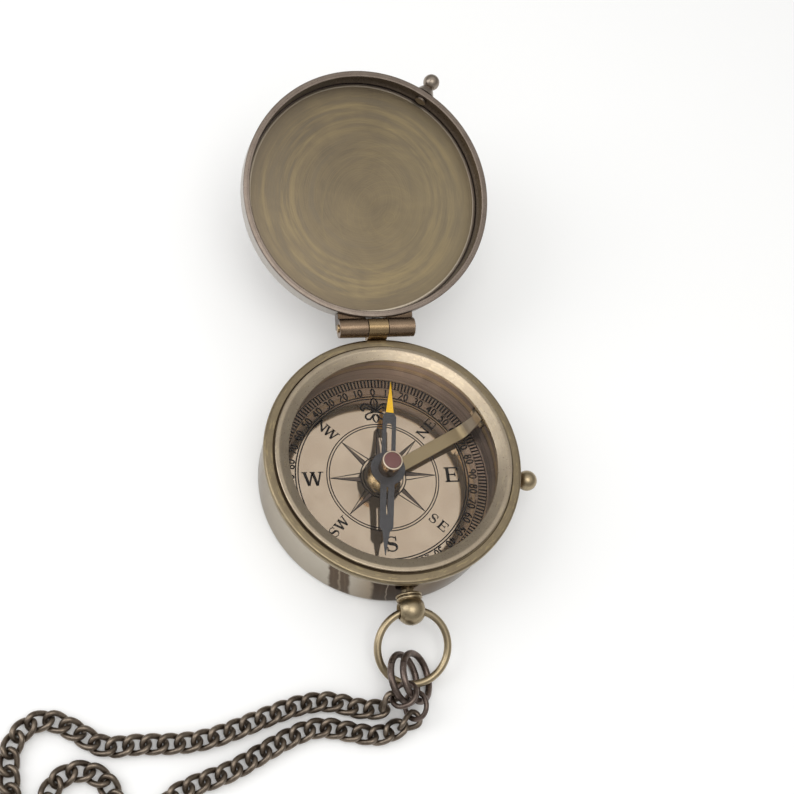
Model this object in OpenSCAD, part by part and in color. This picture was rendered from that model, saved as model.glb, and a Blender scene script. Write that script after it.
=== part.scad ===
// Pocket compass with a hinged lid, a pendant and bow, and a curb chain.
// Millimetres. The case base stands on z = 0, hinge towards +Y, pendant towards -Y.

/* [Case] */
// radius of the case rim, half of a two inch case
rim_r = 25; // [20:0.5:32]
// height of the case rim
rim_h = 1.8; // [1.3:0.1:3]
// rounding of the rim's edge
rim_edge = 0.6; // [0.2:0.1:0.6]
// outer radius of the case cup
cup_r = 24.4; // [24:0.1:25]
// wall of the case cup
cup_wall = 1.2; // [0.9:0.1:1.4]
// height of the case cup
cup_h = 12; // [11.8:0.1:14]
// rounding of the cup's lower edge
cup_edge = 1.2; // [0.4:0.1:2]
// thickness of the case base
base_t = 1; // [0.6:0.1:2]

/* [Bezel and glass] */
// outer radius of the bezel
bezel_r = 22.95; // [22.5:0.05:23.3]
// radius of the window in the bezel
window_r = 20.28; // [19:0.01:21]
// width of the bezel's flat band
bezel_band = 0.95; // [0.4:0.05:1.5]
// how far the bezel stands above the rim
bezel_rise = 0.7; // [0.4:0.1:1.2]
// depth of the seat that the bezel lies in
bezel_seat = 0.3; // [0.1:0.1:0.6]
// width of the dark line beside the bezel
bezel_line = 0.25; // [0.15:0.05:0.4]
// running clearance
play = 0.05; // [0.03:0.01:0.08]
// radius of the glass
glass_r = 21.85; // [21.3:0.05:22]
// thickness of the glass
glass_t = 1; // [0.6:0.1:1.2]

/* [Dial] */
// radius of the dial plate
dial_r = 22.8; // [22:0.1:23.1]
// thickness of the dial plate
dial_t = 0.5; // [0.3:0.05:1]
// height of the dial's face above the floor
dial_top = 3.17; // [2.2:0.01:3.2]
// inner radius of the dark spacer ring
spacer_in = 21.5; // [21:0.1:21.7]
// inner radius of the ring that carries the dial
support_in = 19; // [14:0.1:21]
// radius of the pivot boss
boss_r = 3.2; // [2:0.1:5]
// height of the pivot boss
boss_h = 1.2; // [0.5:0.1:1.2]
// radius of the pivot pin
pin_r = 0.5; // [0.3:0.05:0.7]

/* [Needle] */
// direction of the needle's north end, from +X
needle_dir = 79.6; // [-180:0.1:180]
// height of the needle's underside
needle_z = 7.2; // [7:0.1:8]
// thickness of the needle
needle_t = 0.3; // [0.2:0.05:0.6]
// radius of the needle's hub
hub_r = 3.415; // [2.2:0.005:5]
// width of the needle's arms
arm_w = 2.7; // [2:0.05:4]
// reach of the north tip
north_reach = 18.85; // [14:0.05:19.5]
// reach of the south tip
south_reach = 17.6; // [13:0.1:19.5]
// where the yellow tip starts
yellow_from = 12; // [11.5:0.1:13]
// width of the yellow tip at its base
yellow_w = 1.55; // [1:0.05:2]
// where the arms' shoulders are
shoulder = 11.1; // [10:0.1:11.4]
// where the south arm's shoulders start
south_shoulder = 12.1; // [11:0.1:12.3]
// width of the south point where the shoulders end
south_w = 1.45; // [0.6:0.05:1.8]
// width of the slot in the north arm
slot_w = 1.1; // [0.4:0.1:1.5]
// end of the slots in the arms
slot_end = 9.7; // [6:0.1:9.9]
// width of the slit in the south arm
slit_w = 0.3; // [0.1:0.05:1]
// radius of the needle's cap
cap_r = 1.96; // [1.8:0.01:3]
// top of the needle's cap above the floor
cap_top = 11.6; // [10:0.1:11.8]
// radius of the disc in the cap
jewel_r = 1.63; // [1:0.01:1.7]
// thickness of the disc in the cap
jewel_t = 0.4; // [0.2:0.1:0.8]

/* [Arrest] */
// direction of the arrest lever, from +X
lever_dir = 24.4; // [15:0.1:60]
// width of the lever
lever_w = 2.7; // [1.5:0.1:3]
// thickness of the lever
lever_t = 0.35; // [0.2:0.05:0.5]
// height of the lever's inner end
lever_z = 4.45; // [4.4:0.05:4.8]
// where the lever starts to rise
lever_bend_x = 18.9; // [17:0.1:19.2]
// height of the lever where it starts to rise
lever_bend_z = 5.3; // [5:0.1:5.6]
// height where the lever's tail stands upright
lever_tail_z = 8.8; // [8:0.1:9]
// top of the lever's tail
lever_top_z = 11.3; // [11.1:0.1:11.4]
// distance of the lever's pin from the middle
lever_pin_x = 21.3; // [21.2:0.05:21.4]
// height of the lever's pin
lever_pin_z = 9.6; // [9.5:0.05:9.6]
// radius of the lever's pin
lever_pin_r = 0.3; // [0.2:0.05:0.35]
// thickness of the bracket's lugs
lug_t = 0.6; // [0.3:0.1:0.7]
// thickness of the arrest arm
arm_t = 0.5; // [0.3:0.1:0.5]
// height of the arrest arm
arm_h = 0.95; // [0.6:0.05:0.95]
// direction of the arrest button, from +X
button_dir = -11; // [-40:1:-5]
// height of the arrest button
button_z = 9.8; // [9.6:0.1:9.8]
// radius of the button's ball
button_r = 2; // [1:0.1:2.1]
// distance of the ball's middle from the case's middle
button_out = 27.3; // [27.2:0.1:30]
// radius of the button's stem
stem_r = 0.75; // [0.6:0.05:0.75]

/* [Lid] */
// outer radius of the lid
lid_r = 24.9; // [24.7:0.1:24.9]
// wall of the lid
lid_wall = 1.21; // [0.8:0.01:1.4]
// gap between the closed lid and the rim
lid_gap = 0.1; // [0.05:0.05:0.5]
// depth of the lid, from its lip to its liner
lid_depth = 3.9; // [2.5:0.1:6]
// thickness of the lid's liner
liner_t = 0.3; // [0.2:0.1:1]
// thickness of the lid's top in the middle
lid_top_t = 0.9; // [0.7:0.1:2]
// rounding of the lid's outer edge
lid_edge = 1; // [0.3:0.1:1.2]
// how far the lid is open
lid_open = 160; // [0:1:170]
// direction of the lid's knob, from +X, lid closed
knob_dir = -57.2; // [-80:0.1:-30]
// radius of the lid's knob
knob_r = 1.65; // [1:0.05:2]
// distance of the knob's middle from the lid's middle
knob_out = 28.1; // [27.4:0.05:30]

/* [Hinge] */
// distance of the hinge pin from the case's middle
hinge_y = 26.86; // [26.84:0.01:28]
// height of the hinge pin
hinge_z = 14.95; // [14.5:0.05:16]
// radius of the hinge barrel
barrel_r = 1.9; // [1.4:0.1:1.9]
// radius of the hinge pin
hinge_pin_r = 0.8; // [0.4:0.1:1]
// left end of the hinge
hinge_left = -7.6; // [-10:0.1:-4]
// right end of the hinge
hinge_right = 7.6; // [4:0.1:10]
// left end of the middle barrel
mid_left = -1.8; // [-3:0.1:0]
// right end of the middle barrel
mid_right = 2.1; // [1:0.1:3]
// gap between the barrels of the hinge
barrel_gap = 0.15; // [0.05:0.05:0.4]

/* [Pendant and bow] */
// height of the pendant
pendant_z = 7.4; // [6.5:0.1:8]
// radius of the pendant's neck
neck_r = 1.2; // [0.8:0.05:1.5]
// radius of the ribbed collar
collar_r = 2.45; // [1.8:0.05:2.7]
// length of the ribbed collar
collar_l = 1.5; // [0.8:0.1:1.8]
// radius of the pendant's ball
ball_r = 2.75; // [2.5:0.05:3]
// distance of the ball's middle from the case's middle
ball_out = 28.19; // [28.1:0.01:30]
// radius of the hole across the ball
eye_r = 1; // [0.95:0.05:1.1]
// radius of the bow ring, to the middle of its wire
bow_r = 6.72; // [6.6:0.01:7.5]
// radius of the bow's wire
bow_wire = 0.7; // [0.5:0.05:0.7]
// how far the bow hangs below level
bow_drop = 22.5; // [0:0.5:24]

/* [Jump rings] */
// radius of a jump ring, to the middle of its wire
jump_r = 4.4; // [4.3:0.1:5]
// radius of a jump ring's wire
jump_wire = 0.62; // [0.4:0.01:0.66]
// how far the jump rings lean
jump_lean = 45; // [40:1:50]
// distance between the two jump rings
jump_step = 2.3; // [2:0.1:2.6]
// radius of an end ring, to the middle of its wire
end_r = 2.4; // [2.35:0.05:2.45]
// radius of an end ring's wire
end_wire = 0.46; // [0.3:0.01:0.5]

/* [Chain] */
// thickness of the chain's wire
link_wire = 0.88; // [0.6:0.01:0.9]
// distance from one link to the next
link_pitch = 2.9; // [2.85:0.05:2.95]
// half length of a link's corners
link_long = 2.05; // [2:0.05:2.1]
// half width of a link's corners
link_wide = 1.014; // [0.95:0.002:1.05]
// half height of a link's corners
link_high = 1.179; // [1.15:0.001:1.2]
// half width of a link at its middle
link_mid = 1.454; // [1.44:0.002:1.5]
// height of a lying link's middle
chain_z = 1.07; // [1:0.01:2]
// links of each strand that move with the bow
lead_links = 6; // [4:1:8]

/* [Hidden] */
$fn = 96;
// overrun of a cut past the face it goes through
cut = 0.5;

// colours as in the photo
brass = [0.66, 0.58, 0.40];
pale_brass = [0.80, 0.72, 0.52];
gold = [0.85, 0.68, 0.36];
olive_brass = [0.55, 0.48, 0.30];
dial_cream = [0.78, 0.67, 0.58];
dark_wall = [0.20, 0.15, 0.14];
slate = [0.20, 0.22, 0.25];
yellow = [0.96, 0.74, 0.08];
jewel_red = [0.50, 0.27, 0.25];
antique = [0.34, 0.28, 0.22];
steel = [0.60, 0.60, 0.60];
clear_glass = [0.9, 0.95, 1, 0.25];

// heights and radii that follow
rim_top = cup_h + rim_h;
seat_z = rim_top - bezel_seat;
bezel_top = rim_top + bezel_rise;
window_z = seat_z + bezel_seat / 3;
cup_in = cup_r - cup_wall;
spacer_out = cup_in - play;
spacer_top = cup_h - 2 * play;
glass_z = spacer_top;
lip_z = glass_z + glass_t;
throat_r = bezel_r - 2 * bezel_line;
dial_low = dial_top - dial_t;
boss_round = (boss_r * boss_r + boss_h * boss_h) / (2 * boss_h);
lid_in = lid_r - lid_wall;
lip_lid = rim_top + lid_gap;
liner_z = lip_lid + lid_depth;
ceiling_z = liner_z + liner_t;
lid_top = ceiling_z + lid_top_t;
knob_z = lip_lid + lid_depth / 2 - play;
small_edge = rim_edge / 4;
cap_low = needle_z + needle_t;
south_neck = min(south_shoulder + arm_w * 0.3, (south_shoulder + south_reach) / 2);
cap_room = cap_top - jewel_t - 1.8 * pin_r;
collar_from = ball_out - ball_r - 5 * play;
rivet_t = cup_wall * 5 / 12;
rivet_face = cup_in - rivet_t - 3 * play;
rivet_r = neck_r * 5 / 3;
peg_end = ball_out - eye_r - 5 * play;

// the lever seen from the side, and its tail
lever_face = lever_pin_x - lever_pin_r * 2 / 3;
tail_w = lever_w * 7 / 9;
lever_under = [[-lever_w * 7 / 9, lever_z], [hub_r, lever_z], [lever_bend_x, lever_bend_z],
    [lever_face, lever_tail_z], [lever_face, lever_top_z]];
lever_over = [[lever_face - lever_t, lever_top_z], [lever_face - lever_t, lever_tail_z + lever_t * 2 / 5],
    [lever_bend_x - lever_t * 4 / 7, lever_bend_z + lever_t], [hub_r, lever_z + lever_t],
    [-lever_w * 7 / 9, lever_z + lever_t]];
arm_low = lever_top_z - arm_h;
arm_from = lever_pin_x + lever_pin_r * 4 / 3;
arm_to = arm_from + arm_t;
arm_room = arm_to + 9 * play;
lug_in = tail_w / 2 + 2 * play;
lug_out = lug_in + lug_t;
lug_top = lever_pin_z + 2 * lever_pin_r;

// first link and end ring of each strand: place and turn
first_a = [[-5.738, -43.373, 3.243], [-102.9, -46.1, 37.1]];
first_b = [[-2.037, -47.177, 1.79], [43.9, -6.2, 24.2]];
end_a = [[-3.126, -42.912, 5.249], [0, 43.5, 140.1]];
end_b = [[-0.673, -44.627, 2.932], [0, 51.4, 181.6]];
jump_at = [-2.3, -39.7];

// route of each strand from its first lying link: start, heading, turn over each two links
strand_a = [[-7.535, -44.129], 177, [-21, 26, 12, 2, -3, -13, -7, 8, -42, 14, 66, 49, 7, -7, 3, -16, 13,
    65, 66, 53, 9, 2, 4, -48, -66, -58, -28, -11.4, -6.9, 14.6, 52.6, 42.5]];
strand_b = [[-4.609, -48.01], 203.4, [-40, 0, 32, 8, 0, -12, 9, 54, 33, 8.7, -21.6, -54.4, -41.3]];
// links of each strand that lie across the floor, and of the first that lie in the heap
floor_links = 16;
heap_links = 22;

// a body turned round z with both outer corners rounded
module round_band(inner, outer, low, high, edge) {
    translate([0, 0, low]) difference() {
        rotate_extrude() {
            square([outer - edge, high - low]);
            translate([0, edge]) square([outer, high - low - 2 * edge]);
            for (z = [edge, high - low - edge]) translate([outer - edge, z]) circle(r = edge);
        }
        if (inner > 0) translate([0, 0, -cut]) cylinder(r = inner, h = high - low + 2 * cut);
    }
}

module tube(inner, outer, low, high) {
    translate([0, 0, low]) difference() {
        cylinder(r = outer, h = high - low);
        translate([0, 0, -cut]) cylinder(r = inner, h = high - low + 2 * cut);
    }
}

// a rod outwards from the case's axis
module spoke(from, to, dir, z, r) {
    rotate([0, 0, dir]) translate([from, 0, z]) rotate([0, 90, 0]) cylinder(r = r, h = to - from);
}

module wire_ring(r, wire) {
    rotate_extrude() translate([r, 0]) circle(r = wire);
}

module at_lever() {
    rotate([0, 0, lever_dir]) children();
}

// case
module case_cup() {
    color(brass) difference() {
        rotate_extrude() {
            square([cup_r - cup_edge, cup_h]);
            translate([0, cup_edge]) square([cup_r, cup_h - cup_edge]);
            translate([cup_r - cup_edge, cup_edge]) circle(r = cup_edge);
        }
        translate([0, 0, base_t]) cylinder(r = cup_in, h = cup_h);
        spoke(cup_in - cut, cup_r + cut, -90, pendant_z, neck_r);
        spoke(cup_in - cut, cup_r + cut, button_dir, button_z, stem_r + play);
    }
}

module case_rim() {
    color(pale_brass) difference() {
        round_band(throat_r, rim_r, cup_h, rim_top, rim_edge);
        translate([0, 0, seat_z]) cylinder(r = bezel_r + bezel_line, h = rim_h);
    }
}

module bezel() {
    color(pale_brass) rotate_extrude() polygon([[window_r, lip_z], [throat_r - play, lip_z],
        [throat_r - play, seat_z], [bezel_r, seat_z], [bezel_r, bezel_top - small_edge],
        [bezel_r - small_edge, bezel_top], [bezel_r - bezel_band, bezel_top], [window_r, window_z]]);
}

module glass() {
    color(clear_glass) translate([0, 0, glass_z]) cylinder(r = glass_r, h = glass_t);
}

module glass_ring() {
    color(dark_wall) tube(glass_r + play, throat_r - play, glass_z, lip_z);
}

module spacer_ring() {
    pocket = 2 * lug_out + 10 * play;
    color(dark_wall) difference() {
        tube(spacer_in, spacer_out, dial_top, spacer_top);
        at_lever() translate([spacer_in - lever_w, -pocket / 2, lever_tail_z - lever_w / 2])
            cube([arm_to + 8 * play - spacer_in + lever_w, pocket, cup_h]);
        intersection() {
            translate([0, 0, arm_low - 4 * play]) cylinder(r = arm_room, h = cup_h);
            linear_extrude(2 * cup_h) polygon([[0, 0], [rim_r * cos(button_dir - 5), rim_r * sin(button_dir - 5)],
                [rim_r, 0], [rim_r * cos(lever_dir), rim_r * sin(lever_dir)]]);
        }
        spoke(spacer_in - lever_w, spacer_out + cut, button_dir, button_z, stem_r + play);
        translate([-rivet_r - 3 * play, -cup_r, pendant_z - rivet_r - 3 * play])
            cube([2 * rivet_r + 6 * play, cup_r - rivet_face + 2 * play, 2 * rivet_r + 6 * play]);
    }
}

module dial_plate() {
    color(dial_cream) tube(2 * pin_r + play, dial_r, dial_low, dial_top);
}

module dial_support() {
    color(dark_wall) tube(support_in, dial_r - 6 * play, base_t, dial_low);
}

module pivot_boss() {
    color(gold) difference() {
        union() {
            intersection() {
                translate([0, 0, dial_top + boss_h - boss_round]) sphere(r = boss_round);
                translate([0, 0, dial_top]) cylinder(r = boss_r, h = 2 * boss_h);
            }
            translate([0, 0, dial_low]) cylinder(r = 2 * pin_r, h = dial_t + boss_h / 2);
        }
        translate([0, 0, dial_low - cut]) cylinder(r = pin_r, h = dial_t + boss_h + 2 * cut);
    }
}

module pivot_pin() {
    color(steel) translate([0, 0, dial_low]) {
        cylinder(r = pin_r, h = needle_z - dial_low);
        translate([0, 0, needle_z - dial_low])
            cylinder(r1 = pin_r, r2 = pin_r / 5, h = cap_room - play - needle_z);
    }
}

// needle
module needle() {
    color(slate) translate([0, 0, needle_z]) rotate([0, 0, needle_dir]) difference() {
        union() {
            cylinder(r = hub_r, h = needle_t);
            linear_extrude(needle_t) polygon([[0, arm_w / 2], [shoulder, arm_w / 2],
                [yellow_from, yellow_w / 2], [yellow_from, -yellow_w / 2], [shoulder, -arm_w / 2],
                [0, -arm_w / 2]]);
            linear_extrude(needle_t) polygon([[0, arm_w / 2], [-south_shoulder, arm_w / 2],
                [-south_neck, south_w / 2], [-south_reach, 0], [-south_neck, -south_w / 2],
                [-south_shoulder, -arm_w / 2], [0, -arm_w / 2]]);
        }
        translate([hub_r, -slot_w / 2, -cut]) cube([slot_end - hub_r, slot_w, needle_t + 2 * cut]);
        translate([-slot_end, -slit_w / 2, -cut]) cube([slot_end - hub_r, slit_w, needle_t + 2 * cut]);
        translate([0, 0, -cut]) cylinder(r = 1.5 * pin_r, h = needle_t + 2 * cut);
    }
}

module needle_north_tip() {
    color(yellow) translate([0, 0, needle_z]) rotate([0, 0, needle_dir]) linear_extrude(needle_t)
        polygon([[yellow_from, yellow_w / 2], [yellow_from, -yellow_w / 2], [north_reach, 0]]);
}

module needle_cap() {
    color(pale_brass) difference() {
        round_band(0, cap_r, cap_low, cap_top, small_edge);
        translate([0, 0, cap_low - cut]) cylinder(r = 1.4 * pin_r, h = cap_room - cap_low + cut);
        translate([0, 0, cap_top - jewel_t]) cylinder(r = jewel_r, h = jewel_t + cut);
    }
}

module cap_jewel() {
    color(jewel_red) translate([0, 0, cap_top - jewel_t]) cylinder(r = jewel_r, h = jewel_t);
}

// arrest
module arrest_lever() {
    color(brass) at_lever() difference() {
        union() {
            intersection() {
                rotate([90, 0, 0]) translate([0, 0, -lever_w]) linear_extrude(2 * lever_w)
                    polygon(concat(lever_under, lever_over));
                union() {
                    linear_extrude(cup_h) polygon([[0, -lever_w / 2], [lever_bend_x, -lever_w / 2],
                        [lever_face - lever_t, -tail_w / 2], [lever_pin_x, -tail_w / 2],
                        [lever_pin_x, tail_w / 2], [lever_face - lever_t, tail_w / 2],
                        [lever_bend_x, lever_w / 2], [0, lever_w / 2]]);
                    cylinder(r = lever_w * 7 / 9, h = cup_h);
                }
            }
            translate([lever_pin_x, tail_w / 2, lever_pin_z]) rotate([90, 0, 0])
                cylinder(r = 2 * lever_pin_r, h = tail_w);
        }
        translate([0, 0, lever_z - cut]) cylinder(r = 2.6 * pin_r, h = lever_t + 2 * cut);
        translate([lever_pin_x, lever_w, lever_pin_z]) rotate([90, 0, 0])
            cylinder(r = lever_pin_r + play, h = 2 * lever_w);
    }
}

module arrest_arm() {
    color(gold) {
        rotate([0, 0, button_dir - 2]) rotate_extrude(angle = lever_dir - button_dir - 0.5)
            translate([arm_from, arm_low]) square([arm_t, arm_h]);
        at_lever() translate([lever_face, -tail_w / 2, arm_low + 3 * play])
            cube([arm_to - lever_face, tail_w, arm_h - 3 * play]);
    }
}

module lever_bracket() {
    color(brass) at_lever() difference() {
        union() {
            for (y = [-lug_out, lug_in]) translate([lever_pin_x - lever_pin_r * 5 / 3, y, lever_tail_z])
                cube([arm_to + 8 * play - lever_pin_x + lever_pin_r * 5 / 3, lug_t, lug_top - lever_tail_z]);
            translate([arm_to + play, -lug_out, lever_tail_z])
                cube([7 * play, 2 * lug_out, lug_top - lever_tail_z]);
        }
        translate([lever_pin_x, lever_w, lever_pin_z]) rotate([90, 0, 0])
            cylinder(r = lever_pin_r, h = 2 * lever_w);
    }
}

module lever_pin() {
    color(steel) at_lever() translate([lever_pin_x, lug_out, lever_pin_z]) rotate([90, 0, 0])
        cylinder(r = lever_pin_r, h = 2 * lug_out);
}

module arrest_button() {
    cone = 2.4 * stem_r;
    color(olive_brass) rotate([0, 0, button_dir]) translate([lever_face, 0, button_z]) {
        rotate([0, 90, 0]) {
            cylinder(r1 = stem_r / 7, r2 = stem_r, h = cone);
            translate([0, 0, cone]) cylinder(r = stem_r, h = button_out - lever_face - cone);
            translate([0, 0, button_out - button_r * 1.1 - lever_face])
                cylinder(r = stem_r * 1.5, h = button_r * 0.3);
        }
        translate([button_out - lever_face, 0, 0]) sphere(r = button_r);
    }
}

// hinge
module barrel(from, to, hole) {
    translate([from, hinge_y, hinge_z]) rotate([0, 90, 0]) difference() {
        cylinder(r = barrel_r, h = to - from);
        translate([0, 0, -cut]) cylinder(r = hole, h = to - from + 2 * cut);
    }
}

module case_knuckle() {
    foot_z = cup_h + rim_edge / 3;
    color(gold) difference() {
        union() {
            barrel(mid_left, mid_right, hinge_pin_r);
            difference() {
                translate([mid_left, rim_r - rim_edge, foot_z])
                    cube([mid_right - mid_left, hinge_y + barrel_r / 2 - rim_r + rim_edge, hinge_z - foot_z]);
                cylinder(r = rim_r, h = hinge_z + cut);
            }
        }
        translate([mid_left - cut, hinge_y, hinge_z]) rotate([0, 90, 0])
            cylinder(r = hinge_pin_r, h = mid_right - mid_left + 2 * cut);
    }
}

module hinge_pin() {
    color(gold) translate([hinge_left - 6 * play, hinge_y, hinge_z]) rotate([0, 90, 0])
        cylinder(r = hinge_pin_r, h = hinge_right - hinge_left + 12 * play);
}

module open_lid() {
    translate([0, hinge_y, hinge_z]) rotate([-lid_open, 0, 0]) translate([0, -hinge_y, -hinge_z]) children();
}

module lid_knuckle(from, to) {
    foot_h = lid_top - lid_edge - hinge_z - lid_gap * 4;
    color(brass) open_lid() difference() {
        union() {
            barrel(from, to, hinge_pin_r + play);
            difference() {
                translate([from, lid_r - lid_wall * 2, hinge_z])
                    cube([to - from, hinge_y - lid_r + lid_wall * 2, foot_h]);
                cylinder(r = lid_r, h = lid_top + cut);
            }
        }
        translate([from - cut, hinge_y, hinge_z]) rotate([0, 90, 0])
            cylinder(r = hinge_pin_r + play, h = to - from + 2 * cut);
    }
}

module lid_knuckle_left() {
    lid_knuckle(hinge_left, mid_left - barrel_gap);
}

module lid_knuckle_right() {
    lid_knuckle(mid_right + barrel_gap, hinge_right);
}

// lid
module lid_shell() {
    h = lid_top - lip_lid;
    color(brass) open_lid() difference() {
        translate([0, 0, lip_lid]) rotate_extrude() {
            square([lid_r - lid_edge, h]);
            square([lid_r, h - lid_edge]);
            translate([lid_r - lid_edge, h - lid_edge]) circle(r = lid_edge);
        }
        translate([0, 0, lip_lid - cut]) cylinder(r = lid_in, h = ceiling_z - lip_lid + cut);
        spoke(lid_in - cut, lid_r + cut, knob_dir, knob_z, stem_r);
    }
}

module lid_liner() {
    color(olive_brass) open_lid() translate([0, 0, liner_z]) cylinder(r = lid_in - 4 * play, h = liner_t);
}

module lid_knob() {
    head_x = lid_in - lid_wall * 2 / 5;
    color(olive_brass) open_lid() {
        spoke(head_x, knob_out, knob_dir, knob_z, stem_r);
        spoke(head_x, lid_in - 2 * play, knob_dir, knob_z, stem_r * 1.5);
        rotate([0, 0, knob_dir]) translate([lid_r + play, 0, knob_z]) rotate([0, 90, 0])
            cylinder(r1 = stem_r * 2.3, r2 = stem_r * 1.6, h = knob_r * 0.9);
        rotate([0, 0, knob_dir]) translate([knob_out, 0, knob_z]) sphere(r = knob_r);
    }
}

// pendant and bow
module pendant_stem() {
    rib = collar_l / 8;
    color(olive_brass) {
        difference() {
            union() {
                spoke(rivet_face, rivet_face + rivet_t, -90, pendant_z, rivet_r);
                spoke(rivet_face, collar_from + rib, -90, pendant_z, neck_r);
                spoke(collar_from, collar_from + collar_l, -90, pendant_z, collar_r * 0.88);
                for (i = [0:3])
                    spoke(collar_from + i * 2 * rib, collar_from + i * 2 * rib + rib, -90, pendant_z, collar_r);
            }
            translate([0, -ball_out, pendant_z]) sphere(r = ball_r + play);
        }
        spoke(collar_from, peg_end, -90, pendant_z, eye_r);
    }
}

module pendant_ball() {
    color(olive_brass) translate([0, -ball_out, pendant_z]) difference() {
        rotate([0, 90, 0]) sphere(r = ball_r);
        translate([-ball_r - cut, 0, 0]) rotate([0, 90, 0]) cylinder(r = eye_r, h = 2 * (ball_r + cut));
        for (s = [0, 180]) rotate([0, 0, s]) translate([ball_r / 3, 0, 0]) rotate([0, 90, 0])
            cylinder(r1 = eye_r, r2 = eye_r + bow_wire * 3 / 4, h = ball_r * 3 / 4);
        translate([0, ball_out - peg_end, 0]) rotate([-90, 0, 0]) cylinder(r = eye_r, h = ball_r);
    }
}

module bow_ring() {
    color(olive_brass) translate([0, -ball_out, pendant_z]) rotate([bow_drop, 0, 0])
        translate([0, -bow_r, 0]) wire_ring(bow_r, bow_wire);
}

module jump_ring(step) {
    color(antique) translate([jump_at[0] + step, jump_at[1], jump_r * cos(jump_lean) + jump_wire + play])
        rotate([0, 90 - jump_lean, 0]) wire_ring(jump_r, jump_wire);
}

module jump_ring_a() {
    jump_ring(0);
}

module jump_ring_b() {
    jump_ring(jump_step);
}

module end_ring_a() {
    color(antique) translate(end_a[0]) rotate(end_a[1]) wire_ring(end_r, end_wire);
}

module end_ring_b() {
    color(antique) translate(end_b[0]) rotate(end_b[1]) wire_ring(end_r, end_wire);
}

// chain: a twisted link is six bends of wire, end to end
link_points = [[link_long, link_wide, -link_high], [0, link_mid, 0], [-link_long, link_wide, link_high],
    [-link_long, -link_wide, -link_high], [0, -link_mid, 0], [link_long, -link_wide, link_high]];
// the share of each corner's room that its bend takes, the rest is straight wire
bend_share = 0.94;
end_room = norm([link_wide, link_high]);
side_room = norm([link_long, link_wide - link_mid, link_high]) - end_room;
function bend_reach(i) = bend_share * (i % 3 == 1 ? side_room : end_room);

function unit(v) = v / norm(v);

module bend(p, before, after, reach) {
    u = unit(p - before);
    v = unit(after - p);
    turn = acos(u * v);
    n = unit(v - (u * v) * u);
    r = reach / tan(turn / 2);
    c = p - reach * u + r * n;
    w = cross(-n, u);
    multmatrix([[-n[0], u[0], w[0], c[0]], [-n[1], u[1], w[1], c[1]], [-n[2], u[2], w[2], c[2]]])
        rotate_extrude(angle = turn) translate([r, 0]) circle(r = link_wire / 2);
}

module rod(from, to) {
    d = to - from;
    translate(from) rotate([0, acos(d[2] / norm(d)), atan2(d[1], d[0])]) cylinder(r = link_wire / 2, h = norm(d));
}

module link() {
    union() for (i = [0:5]) {
        p = link_points[i];
        next = link_points[(i + 1) % 6];
        v = unit(next - p);
        bend(p, link_points[(i + 5) % 6], next, bend_reach(i));
        rod(p + v * bend_reach(i), next - v * bend_reach(i + 1));
    }
}

// where a strand is after a distance: a place and a heading; one link is left out after the
// links that move with the bow, so that the two bodies don't catch in each other
function step_on(p, head, turn, far) = let (a = turn * far / (2 * link_pitch))
    p + (abs(a) < 0.001 ? far : far * sin(a / 2) * 360 / (PI * a)) * [cos(head + a / 2), sin(head + a / 2)];
function along(p, head, turns, far, i = 0) =
    far <= 2 * link_pitch || i == len(turns) - 1 ?
        concat(step_on(p, head, turns[i], far), [head + turns[i] * far / (2 * link_pitch)]) :
        along(step_on(p, head, turns[i], 2 * link_pitch), head + turns[i], turns, far - 2 * link_pitch, i + 1);

module strand(route, from, to) {
    for (i = [from:to]) {
        at = along(route[0], route[1], route[2], i * link_pitch);
        translate([at[0], at[1], chain_z]) rotate([0, 0, at[2]]) link();
    }
}

module chain_lead() {
    color(antique) {
        for (f = [first_a, first_b]) translate(f[0]) rotate(f[1]) link();
        strand(strand_a, 0, lead_links - 1);
        strand(strand_b, 0, lead_links - 1);
    }
}

module chain_strands() {
    color(antique) {
        strand(strand_a, lead_links + 1, floor_links);
        strand(strand_b, lead_links + 1, floor_links - 1);
    }
}

module chain_heap() {
    color(antique) strand(strand_a, floor_links + 1, floor_links + heap_links);
}

module chain_tail() {
    color(antique) {
        strand(strand_a, floor_links + heap_links + 1, 2 * len(strand_a[2]));
        strand(strand_b, floor_links, 2 * len(strand_b[2]) - 1);
    }
}

case_cup();
case_rim();
bezel();
glass();
glass_ring();
spacer_ring();
dial_plate();
dial_support();
pivot_boss();
pivot_pin();
needle();
needle_north_tip();
needle_cap();
cap_jewel();
arrest_lever();
arrest_arm();
lever_bracket();
lever_pin();
arrest_button();
case_knuckle();
hinge_pin();
lid_shell();
lid_liner();
lid_knob();
lid_knuckle_left();
lid_knuckle_right();
pendant_stem();
pendant_ball();
bow_ring();
jump_ring_a();
jump_ring_b();
end_ring_a();
end_ring_b();
chain_lead();
chain_strands();
chain_heap();
chain_tail();
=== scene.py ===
"""Looks of the pocket compass: camera, finishes, every visible piece, light."""
import math

import bmesh
import bpy
from mathutils import Matrix, Vector


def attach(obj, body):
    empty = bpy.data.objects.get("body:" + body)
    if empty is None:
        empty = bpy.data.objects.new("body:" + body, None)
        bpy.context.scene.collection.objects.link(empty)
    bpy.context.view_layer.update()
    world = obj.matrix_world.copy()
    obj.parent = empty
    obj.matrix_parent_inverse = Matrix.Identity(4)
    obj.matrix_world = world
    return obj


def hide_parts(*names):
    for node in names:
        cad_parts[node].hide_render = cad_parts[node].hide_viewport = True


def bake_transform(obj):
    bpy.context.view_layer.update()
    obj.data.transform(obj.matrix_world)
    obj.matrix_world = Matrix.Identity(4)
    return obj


MM = 0.001

# ---------------------------------------------------------------- camera
CAMERA_PLACE = (-60.527, -82.372, 216.150)
TO_RIGHT = (0.96190, -0.15223, 0.22712)
TO_TOP = (0.04023, 0.90043, 0.43315)
TO_BACK = (-0.27044, -0.40751, 0.87224)


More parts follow.
